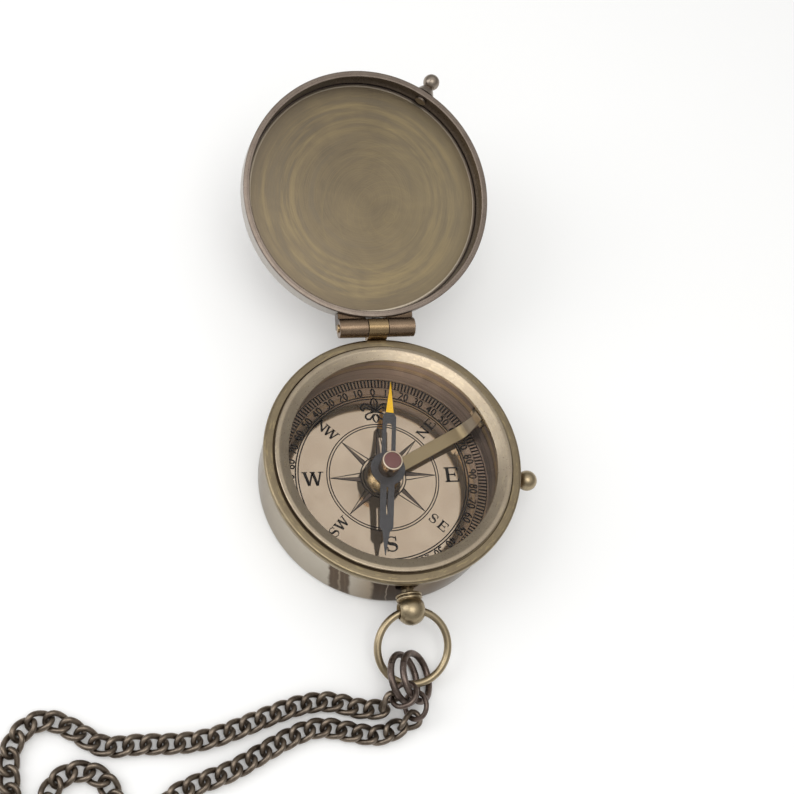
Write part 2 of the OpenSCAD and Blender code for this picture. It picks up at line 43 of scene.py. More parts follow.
def set_camera():
    data = bpy.data.cameras.new("camera")
    data.sensor_width = 36.0
    data.lens = 1200.0 / 794.0 * 36.0
    data.clip_start = 0.01
    data.clip_end = 10.0
    cam = bpy.data.objects.new("camera", data)
    bpy.context.scene.collection.objects.link(cam)
    turn = Matrix((TO_RIGHT, TO_TOP, TO_BACK)).transposed().to_4x4()
    cam.matrix_world = Matrix.Translation(Vector(CAMERA_PLACE) * MM) @ turn
    bpy.context.scene.camera = cam


set_camera()

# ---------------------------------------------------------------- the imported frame
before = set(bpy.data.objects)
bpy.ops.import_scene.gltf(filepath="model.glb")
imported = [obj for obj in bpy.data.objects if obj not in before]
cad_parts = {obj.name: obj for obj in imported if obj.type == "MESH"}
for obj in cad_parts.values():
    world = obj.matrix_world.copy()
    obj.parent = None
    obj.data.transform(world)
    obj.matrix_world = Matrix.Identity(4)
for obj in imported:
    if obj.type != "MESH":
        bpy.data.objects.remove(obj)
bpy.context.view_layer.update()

# sizes and places, in mm
RIM_R, RIM_LOW, RIM_TOP = 25.0, 12.0, 13.8
CUP_R, CUP_IN = 24.4, 23.2
DIAL_LOW, DIAL_TOP = 2.67, 3.17
NEEDLE_Z, NEEDLE_THICK = 7.2, 0.3
BUTTON_Z = 9.8
PENDANT_Z = 7.4
BALL_AT = (0.0, -28.19, PENDANT_Z)
BOW_R, BOW_WIRE, BOW_DROP = 6.72, 0.7, 22.5
HINGE = (0.0, 26.86, 14.95)
LID_KNOB_Z = 15.8

# directions in degrees: round the case from the button's side, and the lid's opening
LID_OPEN = 160.0
NEEDLE_DIR = 79.6
DIAL_TURN = -1.7
LEVER_DIR = 24.4
BUTTON_DIR = -11.0
KNOB_DIR = -57.2
DEGREES = 57.2958  # in a radian


# ---------------------------------------------------------------- finishes
class Val:
    """One socket of a material. Sums on it add Math nodes."""

    def __init__(self, kit, socket):
        self.kit, self.socket = kit, socket

    def _sum(self, kind, a, b):
        return self.kit.add("ShaderNodeMath", {"operation": kind}, [a, b])

    def __add__(self, b): return self._sum("ADD", self, b)
    def __radd__(self, b): return self._sum("ADD", b, self)
    def __sub__(self, b): return self._sum("SUBTRACT", self, b)
    def __rsub__(self, b): return self._sum("SUBTRACT", b, self)
    def __mul__(self, b): return self._sum("MULTIPLY", self, b)
    def __rmul__(self, b): return self._sum("MULTIPLY", b, self)
    def __pow__(self, b): return self._sum("POWER", self, b)


def linear(rgb):
    """A colour as the eye counts it, 0 to 255, made linear."""
    out = [(c / 255 / 12.92) if c <= 10 else ((c / 255 + 0.055) / 1.055) ** 2.4 for c in rgb]
    return (*out, 1.0)


class Nodes:
    """A node tree being filled."""

    def __init__(self, tree):
        self.tree = tree

    def add(self, kind, settings=None, values=(), named=None, out=0):
        """A node: its settings, then its sockets in order or by name."""
        node = self.tree.nodes.new(kind)
        for key, value in (settings or {}).items():
            if key == "stops":
                ramp = node.color_ramp
                while len(ramp.elements) < len(value):
                    ramp.elements.new(0.5)
                for mark, (at, colour) in zip(ramp.elements, value):
                    mark.position, mark.color = at, colour
            else:
                setattr(node, key, value)
        for i, value in enumerate(values):
            self._join(node.inputs[i], value)
        for key, value in (named or {}).items():
            self._join(node.inputs[key], value)
        return Val(self, node.outputs[out])

    def _join(self, socket, value):
        if isinstance(value, Val):
            self.tree.links.new(value.socket, socket)
        elif value is not None:
            socket.default_value = value

    def xyz(self, spot):
        part = self.add("ShaderNodeSeparateXYZ", None, [spot])
        return [Val(self, part.socket.node.outputs[i]) for i in range(3)]

    def point(self, x, y, z):
        return self.add("ShaderNodeCombineXYZ", None, [x, y, z])

    def span(self, value, low, high, to_low=0.0, to_high=1.0):
        return self.add("ShaderNodeMapRange", {"clamp": True}, [value, low, high, to_low, to_high])

    def mix(self, share, a, b):
        node = self.add("ShaderNodeMix", {"data_type": "RGBA"}, ()).socket.node
        self._join(node.inputs[0], share)
        self._join(node.inputs[6], a)
        self._join(node.inputs[7], b)
        return Val(self, node.outputs[2])


class Finish(Nodes):
    """A material being made: its nodes, the place on the piece in mm, and its shader."""

    def __init__(self, name):
        self.mat = bpy.data.materials.new(name)
        self.mat.use_nodes = True
        super().__init__(self.mat.node_tree)
        self.tree.nodes.clear()
        self.out = self.tree.nodes.new("ShaderNodeOutputMaterial")
        self._place = None

    def place(self):
        """The point on the piece, in mm."""
        if self._place is None:
            spot = self.add("ShaderNodeTexCoord", out="Object")
            self._place = self.add("ShaderNodeVectorMath", {"operation": "SCALE"}, [spot],
                                   {"Scale": 1000.0})
        return self._place

    def moved(self, where, turn):
        return self.add("ShaderNodeMapping", {"vector_type": "POINT"}, [self.place(), where, turn])

    def noise(self, scale, detail=3.0, rough=0.55, spot=None, warp=0.0):
        return self.add("ShaderNodeTexNoise", None, (), {
            "Vector": spot or self.place(), "Scale": scale, "Detail": detail, "Roughness": rough,
            "Distortion": warp}, out="Fac")

    def bump(self, height, depth, strength):
        return self.add("ShaderNodeBump", None, (), {
            "Height": height, "Distance": depth, "Strength": strength})

    def end(self, colour, metal, rough, normal=None, coat=0.0, edge=None):
        node = self.tree.nodes.new("ShaderNodeBsdfPrincipled")
        self._join(node.inputs["Base Color"], colour)
        self._join(node.inputs["Metallic"], metal)
        self._join(node.inputs["Roughness"], rough)
        node.inputs["IOR"].default_value = 1.5
        self._join(node.inputs["Coat Weight"], coat)
        node.inputs["Coat Roughness"].default_value = 0.08
        if normal is not None:
            self._join(node.inputs["Normal"], normal)
        if edge is not None:
            node.inputs["Specular Tint"].default_value = (*edge, 1.0)
        self.tree.links.new(node.outputs[0], self.out.inputs["Surface"])
        return self.mat


def radius_and_turn(f, middle=(0, 0), spot=None):
    """Distance from the axis in mm and the angle round it."""
    x, y, z = f.xyz(spot or f.place())
    x, y = x - middle[0], y - middle[1]
    r = (x * x + y * y) ** 0.5
    turn = f.add("ShaderNodeMath", {"operation": "ARCTAN2"}, [y, x])
    return r, turn, z


def lid_spot(f):
    """A point of the open lid, turned back to where it is with the lid shut."""
    angle = math.radians(LID_OPEN)
    c, s = math.cos(angle), math.sin(angle)
    _, y, z = HINGE
    return f.moved((0, y - y * c + z * s, z - y * s - z * c), (angle, 0, 0))


def turned_lines(f, spot=None, fine=1.0, middle=(0, 0)):
    """Fine lines that run round the axis, as a lathe or a brush leaves them."""
    r, turn, z = radius_and_turn(f, middle, spot)
    x, y, _ = f.xyz(spot or f.place())
    dense = 9.0 * fine
    lines = f.noise(1.0, 4.0, 0.7, f.point(r * dense, z * dense + x * 0.05, y * 0.05))
    return lines, r, turn, z


def worn_brass(name, base, dark, bright, rough, lines, mottle, speck=0.0, painted_shade=None, painted_highlight=None):
    """Brass with turned lines, clouds of tarnish and flecks.

    It has painted shade where the shade mask says, stronger towards the left, and a painted highlight where
    the highlight mask says.
    """
    f = Finish(name)
    marks, r, turn, z = turned_lines(f)
    cloud = f.noise(0.35, 4.0, 0.6)
    small = f.noise(2.6, 3.0, 0.6)
    colour = f.mix(f.span(cloud, 0.36, 0.66) * mottle, linear(base), linear(dark))
    colour = f.mix(f.span(marks, 0.45, 0.75) * (0.1 + 0.25 * lines), colour, linear(bright))
    colour = f.mix(f.span(marks, 0.48, 0.30) * (0.3 * lines), colour, linear(dark))
    if speck:
        flecks = f.noise(1.0, 2.0, 0.6, f.point(r * 3.0, z * 3.0, turn * 12.0))
        colour = f.mix(f.span(flecks, 0.56, 0.68) * speck, colour, linear(bright))
    # a painted highlight
    if painted_highlight:
        colour = f.mix(painted_highlight(f, r, z), colour, linear((226, 212, 190)))
    # painted shade, stronger towards the left
    if painted_shade:
        across = f.xyz(f.place())[0]
        share = painted_shade(f, r, z) * f.span(across, 14.0, -6.0, 0.3, 0.85)
        colour = f.mix(share, colour, linear((62, 49, 38)))
    gloss = f.span(small, 0.3, 0.7, rough * 0.8, rough * 1.25) + (marks - 0.5) * (0.2 * lines)
    return f.end(colour, 1.0, gloss, f.bump(marks * lines + small * 0.15, 0.00003, 0.6))


def band(f, value, start, stop, soft):
    """1 between start and stop, falling off softly."""
    return f.span(value, start, start + soft) * f.span(value, stop, stop - soft)


def case_wall_finish():
    """Polished brass of the cup: pale, with painted reflections as upright bands and brown tones near the
    pendant.
    """
    f = Finish("polished_case_brass")
    marks, _, turn, z = turned_lines(f)
    slant = turn * DEGREES + z * 0.444 + (f.noise(0.3, 2.0, 0.5) - 0.5) * 2.0
    fine = slant + (f.noise(1.1, 2.0, 0.5) - 0.5) * 1.2
    colour = f.mix(f.span(f.noise(0.35, 4.0, 0.6), 0.36, 0.66) * 0.3,
                   linear((192, 186, 174)), linear((178, 170, 157)))
    # painted reflection: a tan tone over the front and right of the cup
    tan = f.span(slant, -114.0, -104.0) * f.span(slant, 150.0, 60.0)
    colour = f.mix(tan * 0.85, colour, linear((164, 149, 130)))
    # painted reflection: a brown tone beside the pendant
    side = f.span(slant, -86.0, -76.0) * f.span(slant, 30.0, -10.0)
    colour = f.mix(side * 0.9, colour, linear((120, 101, 81)))
    # painted reflections as upright bands: from and to in degrees, softness, shade, strength
    for start, stop, soft, shade, depth in (
            (-123.2, -112.4, 1.3, (82, 67, 55), 0.94), (-121.0, -119.8, 0.6, (112, 98, 84), 0.5),
            (-118.4, -116.8, 0.6, (152, 140, 124), 0.75), (-115.4, -114.6, 0.4, (124, 108, 92), 0.5),
            (-103.6, -84.0, 1.8, (52, 40, 35), 0.96), (-99.6, -98.0, 0.8, (84, 70, 60), 0.6),
            (-96.6, -95.8, 0.35, (188, 176, 162), 0.8), (-93.0, -91.8, 0.5, (76, 64, 54), 0.6),
            (-88.0, -86.6, 0.5, (96, 84, 70), 0.5)):
        colour = f.mix(band(f, fine, start, stop, soft) * depth, colour, linear(shade))
    # painted highlight round the foot
    foot = f.span(z, 1.6, 0.6)
    colour = f.mix(foot * 0.5, colour, linear((188, 182, 172)))
    return f.end(colour, 1.0, f.span(marks, 0.3, 0.7, 0.12, 0.18), f.bump(marks, 0.000008, 0.3),
                 edge=(0.62, 0.59, 0.56))


CASE_WALL = case_wall_finish()
# each brass: colour, tarnish, bright lines, roughness, strength of lines, clouds and flecks
RIM = worn_brass("rim_brass", (139, 126, 103), (120, 106, 87), (186, 168, 126),
                 0.33, 0.3, 0.45, 0.45,
                 # painted shade in the groove between rim and bezel
                 painted_shade=lambda f, r, z: f.span(r, 23.38, 23.28) * f.span(z, 13.3, 13.5))
BEZEL = worn_brass("bezel_brass", (172, 159, 140), (152, 137, 120), (204, 188, 152),
                   0.32, 0.25, 0.45, 0.3,
                   # painted shade on the bezel's foot inside that groove
                   painted_shade=lambda f, r, z: f.span(r, 22.84, 22.92) * f.span(z, 14.1, 13.95))
OLIVE = worn_brass("olive_brass", (166, 151, 124), (138, 123, 98), (196, 180, 148),
                   0.33, 0.15, 0.35, 0.08)
GOLD = worn_brass("gold_brass", (164, 140, 106), (128, 106, 76), (212, 190, 148),
                  0.26, 0.3, 0.4, 0.12)
LEVER = worn_brass("lever_brass", (156, 140, 112), (142, 126, 98), (172, 156, 124),
                   0.44, 0.1, 0.3,
                   # painted highlight on the lever's upturned end
                   painted_highlight=lambda f, r, z: f.span(r, 18.9, 19.8) * 0.9)
HINGE_BRASS = worn_brass("hinge_brass", (142, 121, 101), (112, 94, 78), (186, 166, 140),
                         0.28, 0.4, 0.4, 0.2,
                         # painted shade on the barrels' far side
                         painted_shade=lambda f, r, z: f.span(r, 28.5, 28.9))
KNOB = worn_brass("knob_brass", (150, 139, 127), (122, 110, 100), (188, 176, 160),
                  0.32, 0.15, 0.4, 0.1)


def cap_finish():
    """The needle's cup: brown brass with a pale ring round its mouth, a painted highlight."""
    f = Finish("cap_brass")
    marks, r, _, z = turned_lines(f)
    colour = f.mix(f.span(marks, 0.35, 0.65) * 0.6, linear((150, 128, 102)), linear((118, 98, 78)))
    # painted highlight: a pale ring on the lip round the mouth
    mouth = f.span(r, 1.7, 1.74) * f.span(z, 11.3, 11.5)
    colour = f.mix(mouth * 0.95, colour, linear((236, 220, 202)))
    return f.end(colour, 1.0, f.span(mouth, 0.0, 1.0, 0.26, 0.5), f.bump(marks, 0.00002, 0.4))


CAP = cap_finish()


def lid_finish():
    """Satin brass gone reddish brown: a fine light lip, painted shade on the inner wall, deeper inside, and
    a painted reflection that makes the outside pale.
    """
    f = Finish("lid_brass")
    spot = lid_spot(f)
    marks, r, _, z = turned_lines(f, spot)
    cloud = f.noise(0.35, 4.0, 0.6, spot)
    small = f.noise(2.6, 3.0, 0.6, spot)
    colour = f.mix(f.span(cloud, 0.36, 0.66) * 0.5, linear((124, 113, 104)), linear((100, 88, 80)))
    colour = f.mix(f.span(marks, 0.45, 0.75) * 0.25, colour, linear((160, 149, 137)))
    colour = f.mix(band(f, r, 24.05, 24.25, 0.05) * 0.35, colour, linear((84, 74, 68)))
    # painted shade on the inner wall, stronger deeper in
    inner = f.span(r, 23.9, 23.75) * f.span(z, 14.0, 14.5) * f.span(z, 18.6, 18.3)
    colour = f.mix(inner * f.span(z, 14.2, 17.6, 0.55, 0.9), colour, linear((84, 75, 72)))
    # painted reflection: the outer wall made pale
    painted_pale_reflection = f.span(r, 24.84, 24.89) * f.span(z, 14.1, 14.6)
    colour = f.mix(painted_pale_reflection * 0.9, colour, linear((176, 170, 162)))
    top = f.span(z, 18.4, 18.8) * f.span(r, 24.8, 24.3)
    colour = f.mix(top * 0.8, colour, linear((158, 148, 136)))
    gloss = f.span(small, 0.3, 0.7, 0.25, 0.37)
    return f.end(colour, 1.0, gloss, f.bump(marks, 0.00002, 0.5))


LID_BRASS = lid_finish()


def liner_finish():
    """Brass brushed in circles: a mottled middle, golden arcs, painted shade to the left and painted light
    to the right, and a light edge line that is a painted highlight, brightest on the right.
    """
    f = Finish("brushed_liner")
    spot = lid_spot(f)
    marks, r, turn, _ = turned_lines(f, spot, 0.9)
    swirl = f.noise(0.12, 3.0, 0.6, spot, 1.2)
    second, *_ = turned_lines(f, spot, 0.35, (5.0, 4.0))
    colour = f.mix(f.span(swirl, 0.35, 0.65), linear((118, 106, 85)), linear((106, 96, 80)))
    colour = f.mix(f.span(marks, 0.45, 0.72) * 0.35, colour, linear((146, 132, 102)))
    colour = f.mix(f.span(second, 0.50, 0.72) * 0.35, colour, linear((142, 127, 90)))
    colour = f.mix(f.span(marks, 0.45, 0.3) * 0.25, colour, linear((88, 78, 62)))
    colour = f.mix(f.span(r, 18.5, 22.8) * 0.55, colour, linear((96, 86, 73)))
    # painted shade to the left and painted light to the right
    across = f.xyz(f.place())[0]
    colour = f.mix(f.span(across, 6.0, -20.0) * 0.5, colour, linear((102, 93, 80)))
    colour = f.mix(f.span(across, 2.0, 20.0) * 0.45, colour, linear((150, 137, 111)))
    x, y, _ = f.xyz(spot)
    arcs = f.noise(1.0, 4.0, 0.65, f.point(r * 0.8, x * 0.06 + 7.3, y * 0.06))
    golden = f.span(arcs, 0.46, 0.66) * band(f, r, 12.5, 22.6, 3.0)
    colour = f.mix(golden * 0.28, colour, linear((162, 144, 104)))
    dull = f.span(arcs, 0.50, 0.34) * band(f, r, 7.0, 23.0, 3.0)
    colour = f.mix(dull * 0.4, colour, linear((102, 95, 85)))
    # painted highlight along the edge, brightest on the right
    edge = band(f, r, 22.9, 23.45, 0.08)
    edge = edge * f.span(turn, -2.0, -1.2, 0.35, 1.0) * f.span(turn, 1.6, 2.4, 1.0, 0.35)
    colour = f.mix(edge, colour, linear((176, 166, 150)))
    rough = f.span(marks, 0.3, 0.7, 0.30, 0.42)
    return f.end(colour, 1.0, rough, f.bump(marks, 0.00003, 0.7))


def dark_wall_finish():
    """The turned inner wall: grey-brown satin, with fine light and dark lines that run round it, painted
    light on two sides, and painted shadow at the top under the bezel.
    """
    f = Finish("dark_wall")
    x, y, z = f.xyz(f.place())
    rings = f.noise(1.0, 2.0, 0.5, f.point(x * 0.015, y * 0.015 + 3.7, z * 0.9))
    colour = f.mix(f.span(rings, 0.36, 0.64), linear((120, 111, 112)), linear((152, 140, 134)))
    turn = radius_and_turn(f)[1]
    # painted light: two sides of the wall made paler
    colour = f.mix(band(f, turn, -1.6, -0.1, 0.5) * 0.7, colour, linear((202, 186, 168)))
    colour = f.mix(band(f, turn, 0.7, 2.4, 0.5) * 0.6, colour, linear((196, 178, 168)))
    # from and to in height, shade, strength; the last is painted shadow under the bezel
    for start, stop, shade, depth in (
            (3.8, 4.1, (166, 154, 144), 0.6), (5.4, 5.6, (70, 63, 62), 0.5),
            (7.5, 7.9, (74, 66, 64), 0.6), (7.9, 9.3, (166, 146, 118), 0.7),
            (8.7, 8.86, (226, 200, 154), 0.8), (9.4, 9.6, (76, 68, 66), 0.5),
            (11.3, 12.9, (72, 66, 66), 0.7)):
        colour = f.mix(band(f, z, start, stop, 0.08) * depth, colour, linear(shade))
    return f.end(colour, 0.8, f.span(rings, 0.3, 0.7, 0.36, 0.46), f.bump(rings, 0.00001, 0.3))


def dial_finish():
    """Etched and polished plate, nearly a mirror."""
    f = Finish("dial_plate")
    cloud = f.noise(0.25, 3.0, 0.5)
    grain = f.noise(14.0, 2.0, 0.6)
    colour = f.mix(f.span(cloud, 0.35, 0.65), linear((204, 186, 166)), linear((196, 177, 157)))
    rough = f.span(grain, 0.3, 0.7, 0.05, 0.08)
    return f.end(colour, 0.86, rough, f.bump(grain, 0.000004, 0.25))


def plain_finish(name, colour, metal, rough, scale=3.0, spread=0.2, coat=0.0, dark=0.6):
    """One colour with a little mottling."""
    f = Finish(name)
    small = f.noise(scale, 3.0, 0.6)
    shade = [c * dark for c in colour]
    mixed = f.mix(f.span(small, 0.35, 0.7) * spread, linear(colour), linear(shade))
    return f.end(mixed, metal, f.span(small, 0.3, 0.7, rough * 0.85, rough * 1.2),
                 f.bump(small, 0.00001, 0.5), coat)


def antique_finish(name, base, dark, bright):
    """Darkened brass, rubbed brighter in places."""
    f = Finish(name)
    cloud = f.noise(0.5, 4.0, 0.6)
    small = f.noise(4.0, 3.0, 0.65)
    colour = f.mix(f.span(cloud, 0.35, 0.68), linear(base), linear(dark))
    colour = f.mix(f.span(small, 0.54, 0.74) * 0.45, colour, linear(bright))
    return f.end(colour, 1.0, f.span(small, 0.3, 0.7, 0.30, 0.44), f.bump(small, 0.00003, 0.5))


def glass_finish():
    """Clear flat glass with a faint smeared shine."""
    f = Finish("glass")
    clear = f.tree.nodes.new("ShaderNodeBsdfTransparent")
    clear.inputs[0].default_value = (0.985, 0.985, 0.98, 1)
    shine = f.tree.nodes.new("ShaderNodeBsdfGlossy")
    shine.inputs["Roughness"].default_value = 0.02
    smear = f.noise(0.08, 3.0, 0.5)
    gloss = f.add("ShaderNodeFresnel", None, (), {"IOR": 1.3})
    mixed = f.tree.nodes.new("ShaderNodeMixShader")
    f._join(mixed.inputs[0], gloss * f.span(smear, 0.3, 0.7, 0.25, 0.5))
    f.tree.links.new(clear.outputs[0], mixed.inputs[1])
    f.tree.links.new(shine.outputs[0], mixed.inputs[2])
    f.tree.links.new(mixed.outputs[0], f.out.inputs["Surface"])
    return f.mat


LINER = liner_finish()
DARK_WALL = dark_wall_finish()
DIAL = dial_finish()
INK = plain_finish("dial_etch", (24, 17, 14), 0.0, 0.75)
SHADE = plain_finish("dial_shade", (98, 84, 76), 0.3, 0.5)
SLATE = plain_finish("blued_steel", (88, 87, 90), 0.75, 0.4, 2.0, 0.35)
YELLOW = plain_finish("yellow_paint", (250, 194, 24), 0.0, 0.4, 4.0, 0.15, 0.15, 0.85)
JEWEL = plain_finish("red_jewel", (112, 68, 66), 0.0, 0.35, 6.0, 0.4, 0.2, 0.75)
STEEL = plain_finish("bright_steel", (170, 170, 168), 1.0, 0.25)
CHAIN = antique_finish("antique_chain", (134, 122, 109), (94, 83, 73), (188, 175, 156))
RING_WIRE = antique_finish("antique_rings", (120, 106, 99), (84, 73, 68), (188, 175, 160))
GLASS = glass_finish()


def keep(name, mesh_data, finish, body, replaced=(), sharp=35.0, bevel=0.0):
    """A finished piece: smooth faces, its finish, the body it moves with, the solids it stands for."""
    mesh_data.materials.clear()
    mesh_data.materials.append(finish)
    piece = bpy.data.objects.new(name, mesh_data)
    bpy.context.scene.collection.objects.link(piece)
    if bevel:
        mod = piece.modifiers.new("edges", "BEVEL")
        mod.width, mod.segments = bevel * MM, 2
        mod.limit_method, mod.angle_limit = "ANGLE", math.radians(40)
        mod.harden_normals = False
    mesh_data.shade_smooth()
    mesh_data.set_sharp_from_angle(angle=math.radians(sharp))
    if body:
        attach(piece, body)
    if replaced:
        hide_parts(*replaced)
    return piece


def mesh_of(name, bm, place=None):
    """The bmesh as a mesh in metres with its faces outwards, moved to its place in mm first."""
    if place is not None:
        bm.transform(place)
    bmesh.ops.scale(bm, vec=(MM, MM, MM), verts=bm.verts)
    bmesh.ops.recalc_face_normals(bm, faces=bm.faces)
    data = bpy.data.meshes.new(name)
    bm.to_mesh(data)
    bm.free()
    return data


def rounded(points, radii, steps=4):
    """A closed outline with its corners rounded by the radius given for each."""
    out = []
    n = len(points)
    for i, (p, r) in enumerate(zip(points, radii)):
        if not r:
            out.append(tuple(p))
            continue
        a, b, c = (Vector(points[i - 1]), Vector(p), Vector(points[(i + 1) % n]))
        u, v = (a - b).normalized(), (c - b).normalized()
        half = u.angle(v) / 2
        reach = min(r / math.tan(half), (a - b).length * 0.49, (c - b).length * 0.49)
        r = reach * math.tan(half)
        middle = b + (u + v).normalized() * (r / math.sin(half))
        start, stop = b + u * reach - middle, b + v * reach - middle
        sweep = math.atan2(start.x * stop.y - start.y * stop.x, start.dot(stop))
        for k in range(steps + 1):
            t = sweep * k / steps
            out.append((middle.x + start.x * math.cos(t) - start.y * math.sin(t),
                        middle.y + start.x * math.sin(t) + start.y * math.cos(t)))
    return out


def lathe(outline, segments=192):
    """Turns a closed outline of (radius, height) round the Z axis."""
    bm = bmesh.new()
    rings = []
    for r, z in outline:
        if r < 1e-6:
            rings.append([bm.verts.new((0, 0, z))])
        else:
            turns = [2 * math.pi * k / segments for k in range(segments)]
            rings.append([bm.verts.new((r * math.cos(t), r * math.sin(t), z)) for t in turns])
    for a, b in zip(rings, rings[1:] + rings[:1]):
        for k in range(segments):
            q = (k + 1) % segments
            if len(a) == 1 and len(b) == 1:
                continue
            if len(a) == 1:
                bm.faces.new((a[0], b[q], b[k]))
            elif len(b) == 1:
                bm.faces.new((a[k], a[q], b[0]))
            else:
                bm.faces.new((a[k], a[q], b[q], b[k]))
    return bm


def wire_loop(points, wire, around=12, closed=True):
    """A round wire along points, kept from twisting."""
    pts = [Vector(p) for p in points]
    n = len(pts)
    tangents = []
    for i in range(n):
        a = pts[(i - 1) % n] if closed or i else pts[0]
        b = pts[(i + 1) % n] if closed or i < n - 1 else pts[-1]
        tangents.append((b - a).normalized())
    side = tangents[0].orthogonal().normalized()
    frames = []
    for i, t in enumerate(tangents):
        if i:
            turn = tangents[i - 1].rotation_difference(t)
            side = (turn @ side).normalized()
        side = (side - t * side.dot(t)).normalized()
        frames.append((side.copy(), t.cross(side)))
    slip = 0.0
    if closed:
        last = (tangents[-1].rotation_difference(tangents[0]) @ frames[-1][0])
        slip = math.atan2(last.dot(frames[0][1]), last.dot(frames[0][0]))
    bm = bmesh.new()
    rings = []
    for i, (p, (u, v)) in enumerate(zip(pts, frames)):
        off = -slip * i / n
        rings.append([bm.verts.new(p + wire * (math.cos(2 * math.pi * k / around + off) * u
                                               + math.sin(2 * math.pi * k / around + off) * v))
                      for k in range(around)])
    pairs = list(zip(rings, rings[1:] + rings[:1])) if closed else list(zip(rings, rings[1:]))
    for a, b in pairs:
        for k in range(around):
            q = (k + 1) % around
            bm.faces.new((a[k], a[q], b[q], b[k]))
    if not closed:
        bm.faces.new(rings[0][::-1])
        bm.faces.new(rings[-1])
    return bm


def slab(outline, low, high):
    """A flat piece with the given outline, between two heights."""
    bm = bmesh.new()
    bottom = [bm.verts.new((x, y, low)) for x, y in outline]
    top = [bm.verts.new((x, y, high)) for x, y in outline]
    bm.faces.new(bottom[::-1])
    bm.faces.new(top)
    for i in range(len(outline)):
        j = (i + 1) % len(outline)
        bm.faces.new((bottom[i], bottom[j], top[j], top[i]))
    return bm


def joined(parts):
    """Several bmeshes as one."""
    whole = bmesh.new()
    for bm in parts:
        data = bpy.data.meshes.new("part")
        bm.to_mesh(data)
        bm.free()
        whole.from_mesh(data)
        bpy.data.meshes.remove(data)
    return whole


def turned(deg, axis):
    return Matrix.Rotation(math.radians(deg), 4, axis)


def turn_z(deg):
    return turned(deg, "Z")


def out_along(deg, z):
    """Lays a piece turned round Z on its side, pointing outwards from the case at an angle."""
    return turn_z(deg) @ Matrix.Translation((0, 0, z)) @ turned(90, "Y")


def opened():
    """From the shut lid's place to the open lid's."""
    to_pin = Matrix.Translation(Vector(HINGE))
    return to_pin @ turned(-LID_OPEN, "X") @ to_pin.inverted()


def copy_of(node, name, finish, body, bevel):
    """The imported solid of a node, its loose faces merged, with softened edges."""
    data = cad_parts[node].data.copy()
    bm = bmesh.new()
    bm.from_mesh(data)
    bm.transform(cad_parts[node].matrix_world)
    bmesh.ops.remove_doubles(bm, verts=bm.verts, dist=1e-6)
    bmesh.ops.dissolve_limit(bm, angle_limit=math.radians(0.5), verts=bm.verts, edges=bm.edges)
    bm.to_mesh(data)
    bm.free()
    data.name = name
    return keep(name, data, finish, body, (node,), 30.0, bevel)


# ---------------------------------------------------------------- case
def make_case():
    """Everything that is fixed: the cup, rim, bezel, glass, inner wall, dial and pivot."""
    cup = rounded([(0, 0), (CUP_R, 0), (CUP_R, 12), (CUP_IN, 12), (CUP_IN, 1), (0, 1)],
                  [0, 1.2, 0.05, 0.05, 0.2, 0], 8)
    keep("case_cup_body", mesh_of("cup", lathe(cup)), CASE_WALL, "case", ("case_cup",))
    rim = rounded([(22.45, RIM_LOW), (RIM_R, RIM_LOW), (RIM_R, RIM_TOP), (23.22, RIM_TOP),
                   (CUP_IN, 13.5), (22.45, 13.5)], [0, 0.55, 0.55, 0.12, 0, 0], 8)
    keep("case_rim_body", mesh_of("rim", lathe(rim)), RIM, "case", ("case_rim",))
    bezel = rounded([(20.28, 12.92), (22.4, 12.92), (22.4, 13.5), (22.95, 13.5), (22.95, 14.5),
                     (22.2, 14.5), (22.0, 14.44), (20.28, 13.62)],
                    [0.05, 0, 0, 0.05, 0.22, 0.1, 0.25, 0.12], 5)
    keep("bezel_body", mesh_of("bezel", lathe(bezel, 256)), BEZEL, "case", ("bezel",))
    for node, finish in (("glass", GLASS), ("glass_ring", DARK_WALL), ("dial_support", DARK_WALL)):
        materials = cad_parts[node].data.materials
        materials.clear()
        materials.append(finish)
    copy_of("spacer_ring", "inner_wall", DARK_WALL, "case", 0.03)
    dial = rounded([(1.05, DIAL_LOW), (22.8, DIAL_LOW), (22.8, DIAL_TOP), (1.05, DIAL_TOP)],
                   [0, 0.05, 0.05, 0.02], 2)
    keep("dial_face", mesh_of("dial", lathe(dial)), DIAL, "case", ("dial_plate",))
    dome, dome_top = 4.867, 4.37
    boss = [(0.5, DIAL_LOW), (1.0, DIAL_LOW), (1.0, DIAL_TOP)] + [
        (dome * math.sin(t), dome_top - dome + dome * math.cos(t)) for t in
        [math.asin(3.2 / dome) * (1 - k / 14) for k in range(14)]] + [(0.5, 4.344)]
    keep("pivot_dome", mesh_of("boss", lathe(boss, 96)), GOLD, "case", ("pivot_boss",))
    pin = [(0, DIAL_LOW), (0.5, DIAL_LOW), (0.5, NEEDLE_Z), (0.1, 10.35), (0, 10.35)]
    keep("pivot_point", mesh_of("pin", lathe(pin, 48)), STEEL, "case", ("pivot_pin",))


def round_points(r, angles):
    return [(r * math.cos(math.radians(a)), r * math.sin(math.radians(a))) for a in angles]


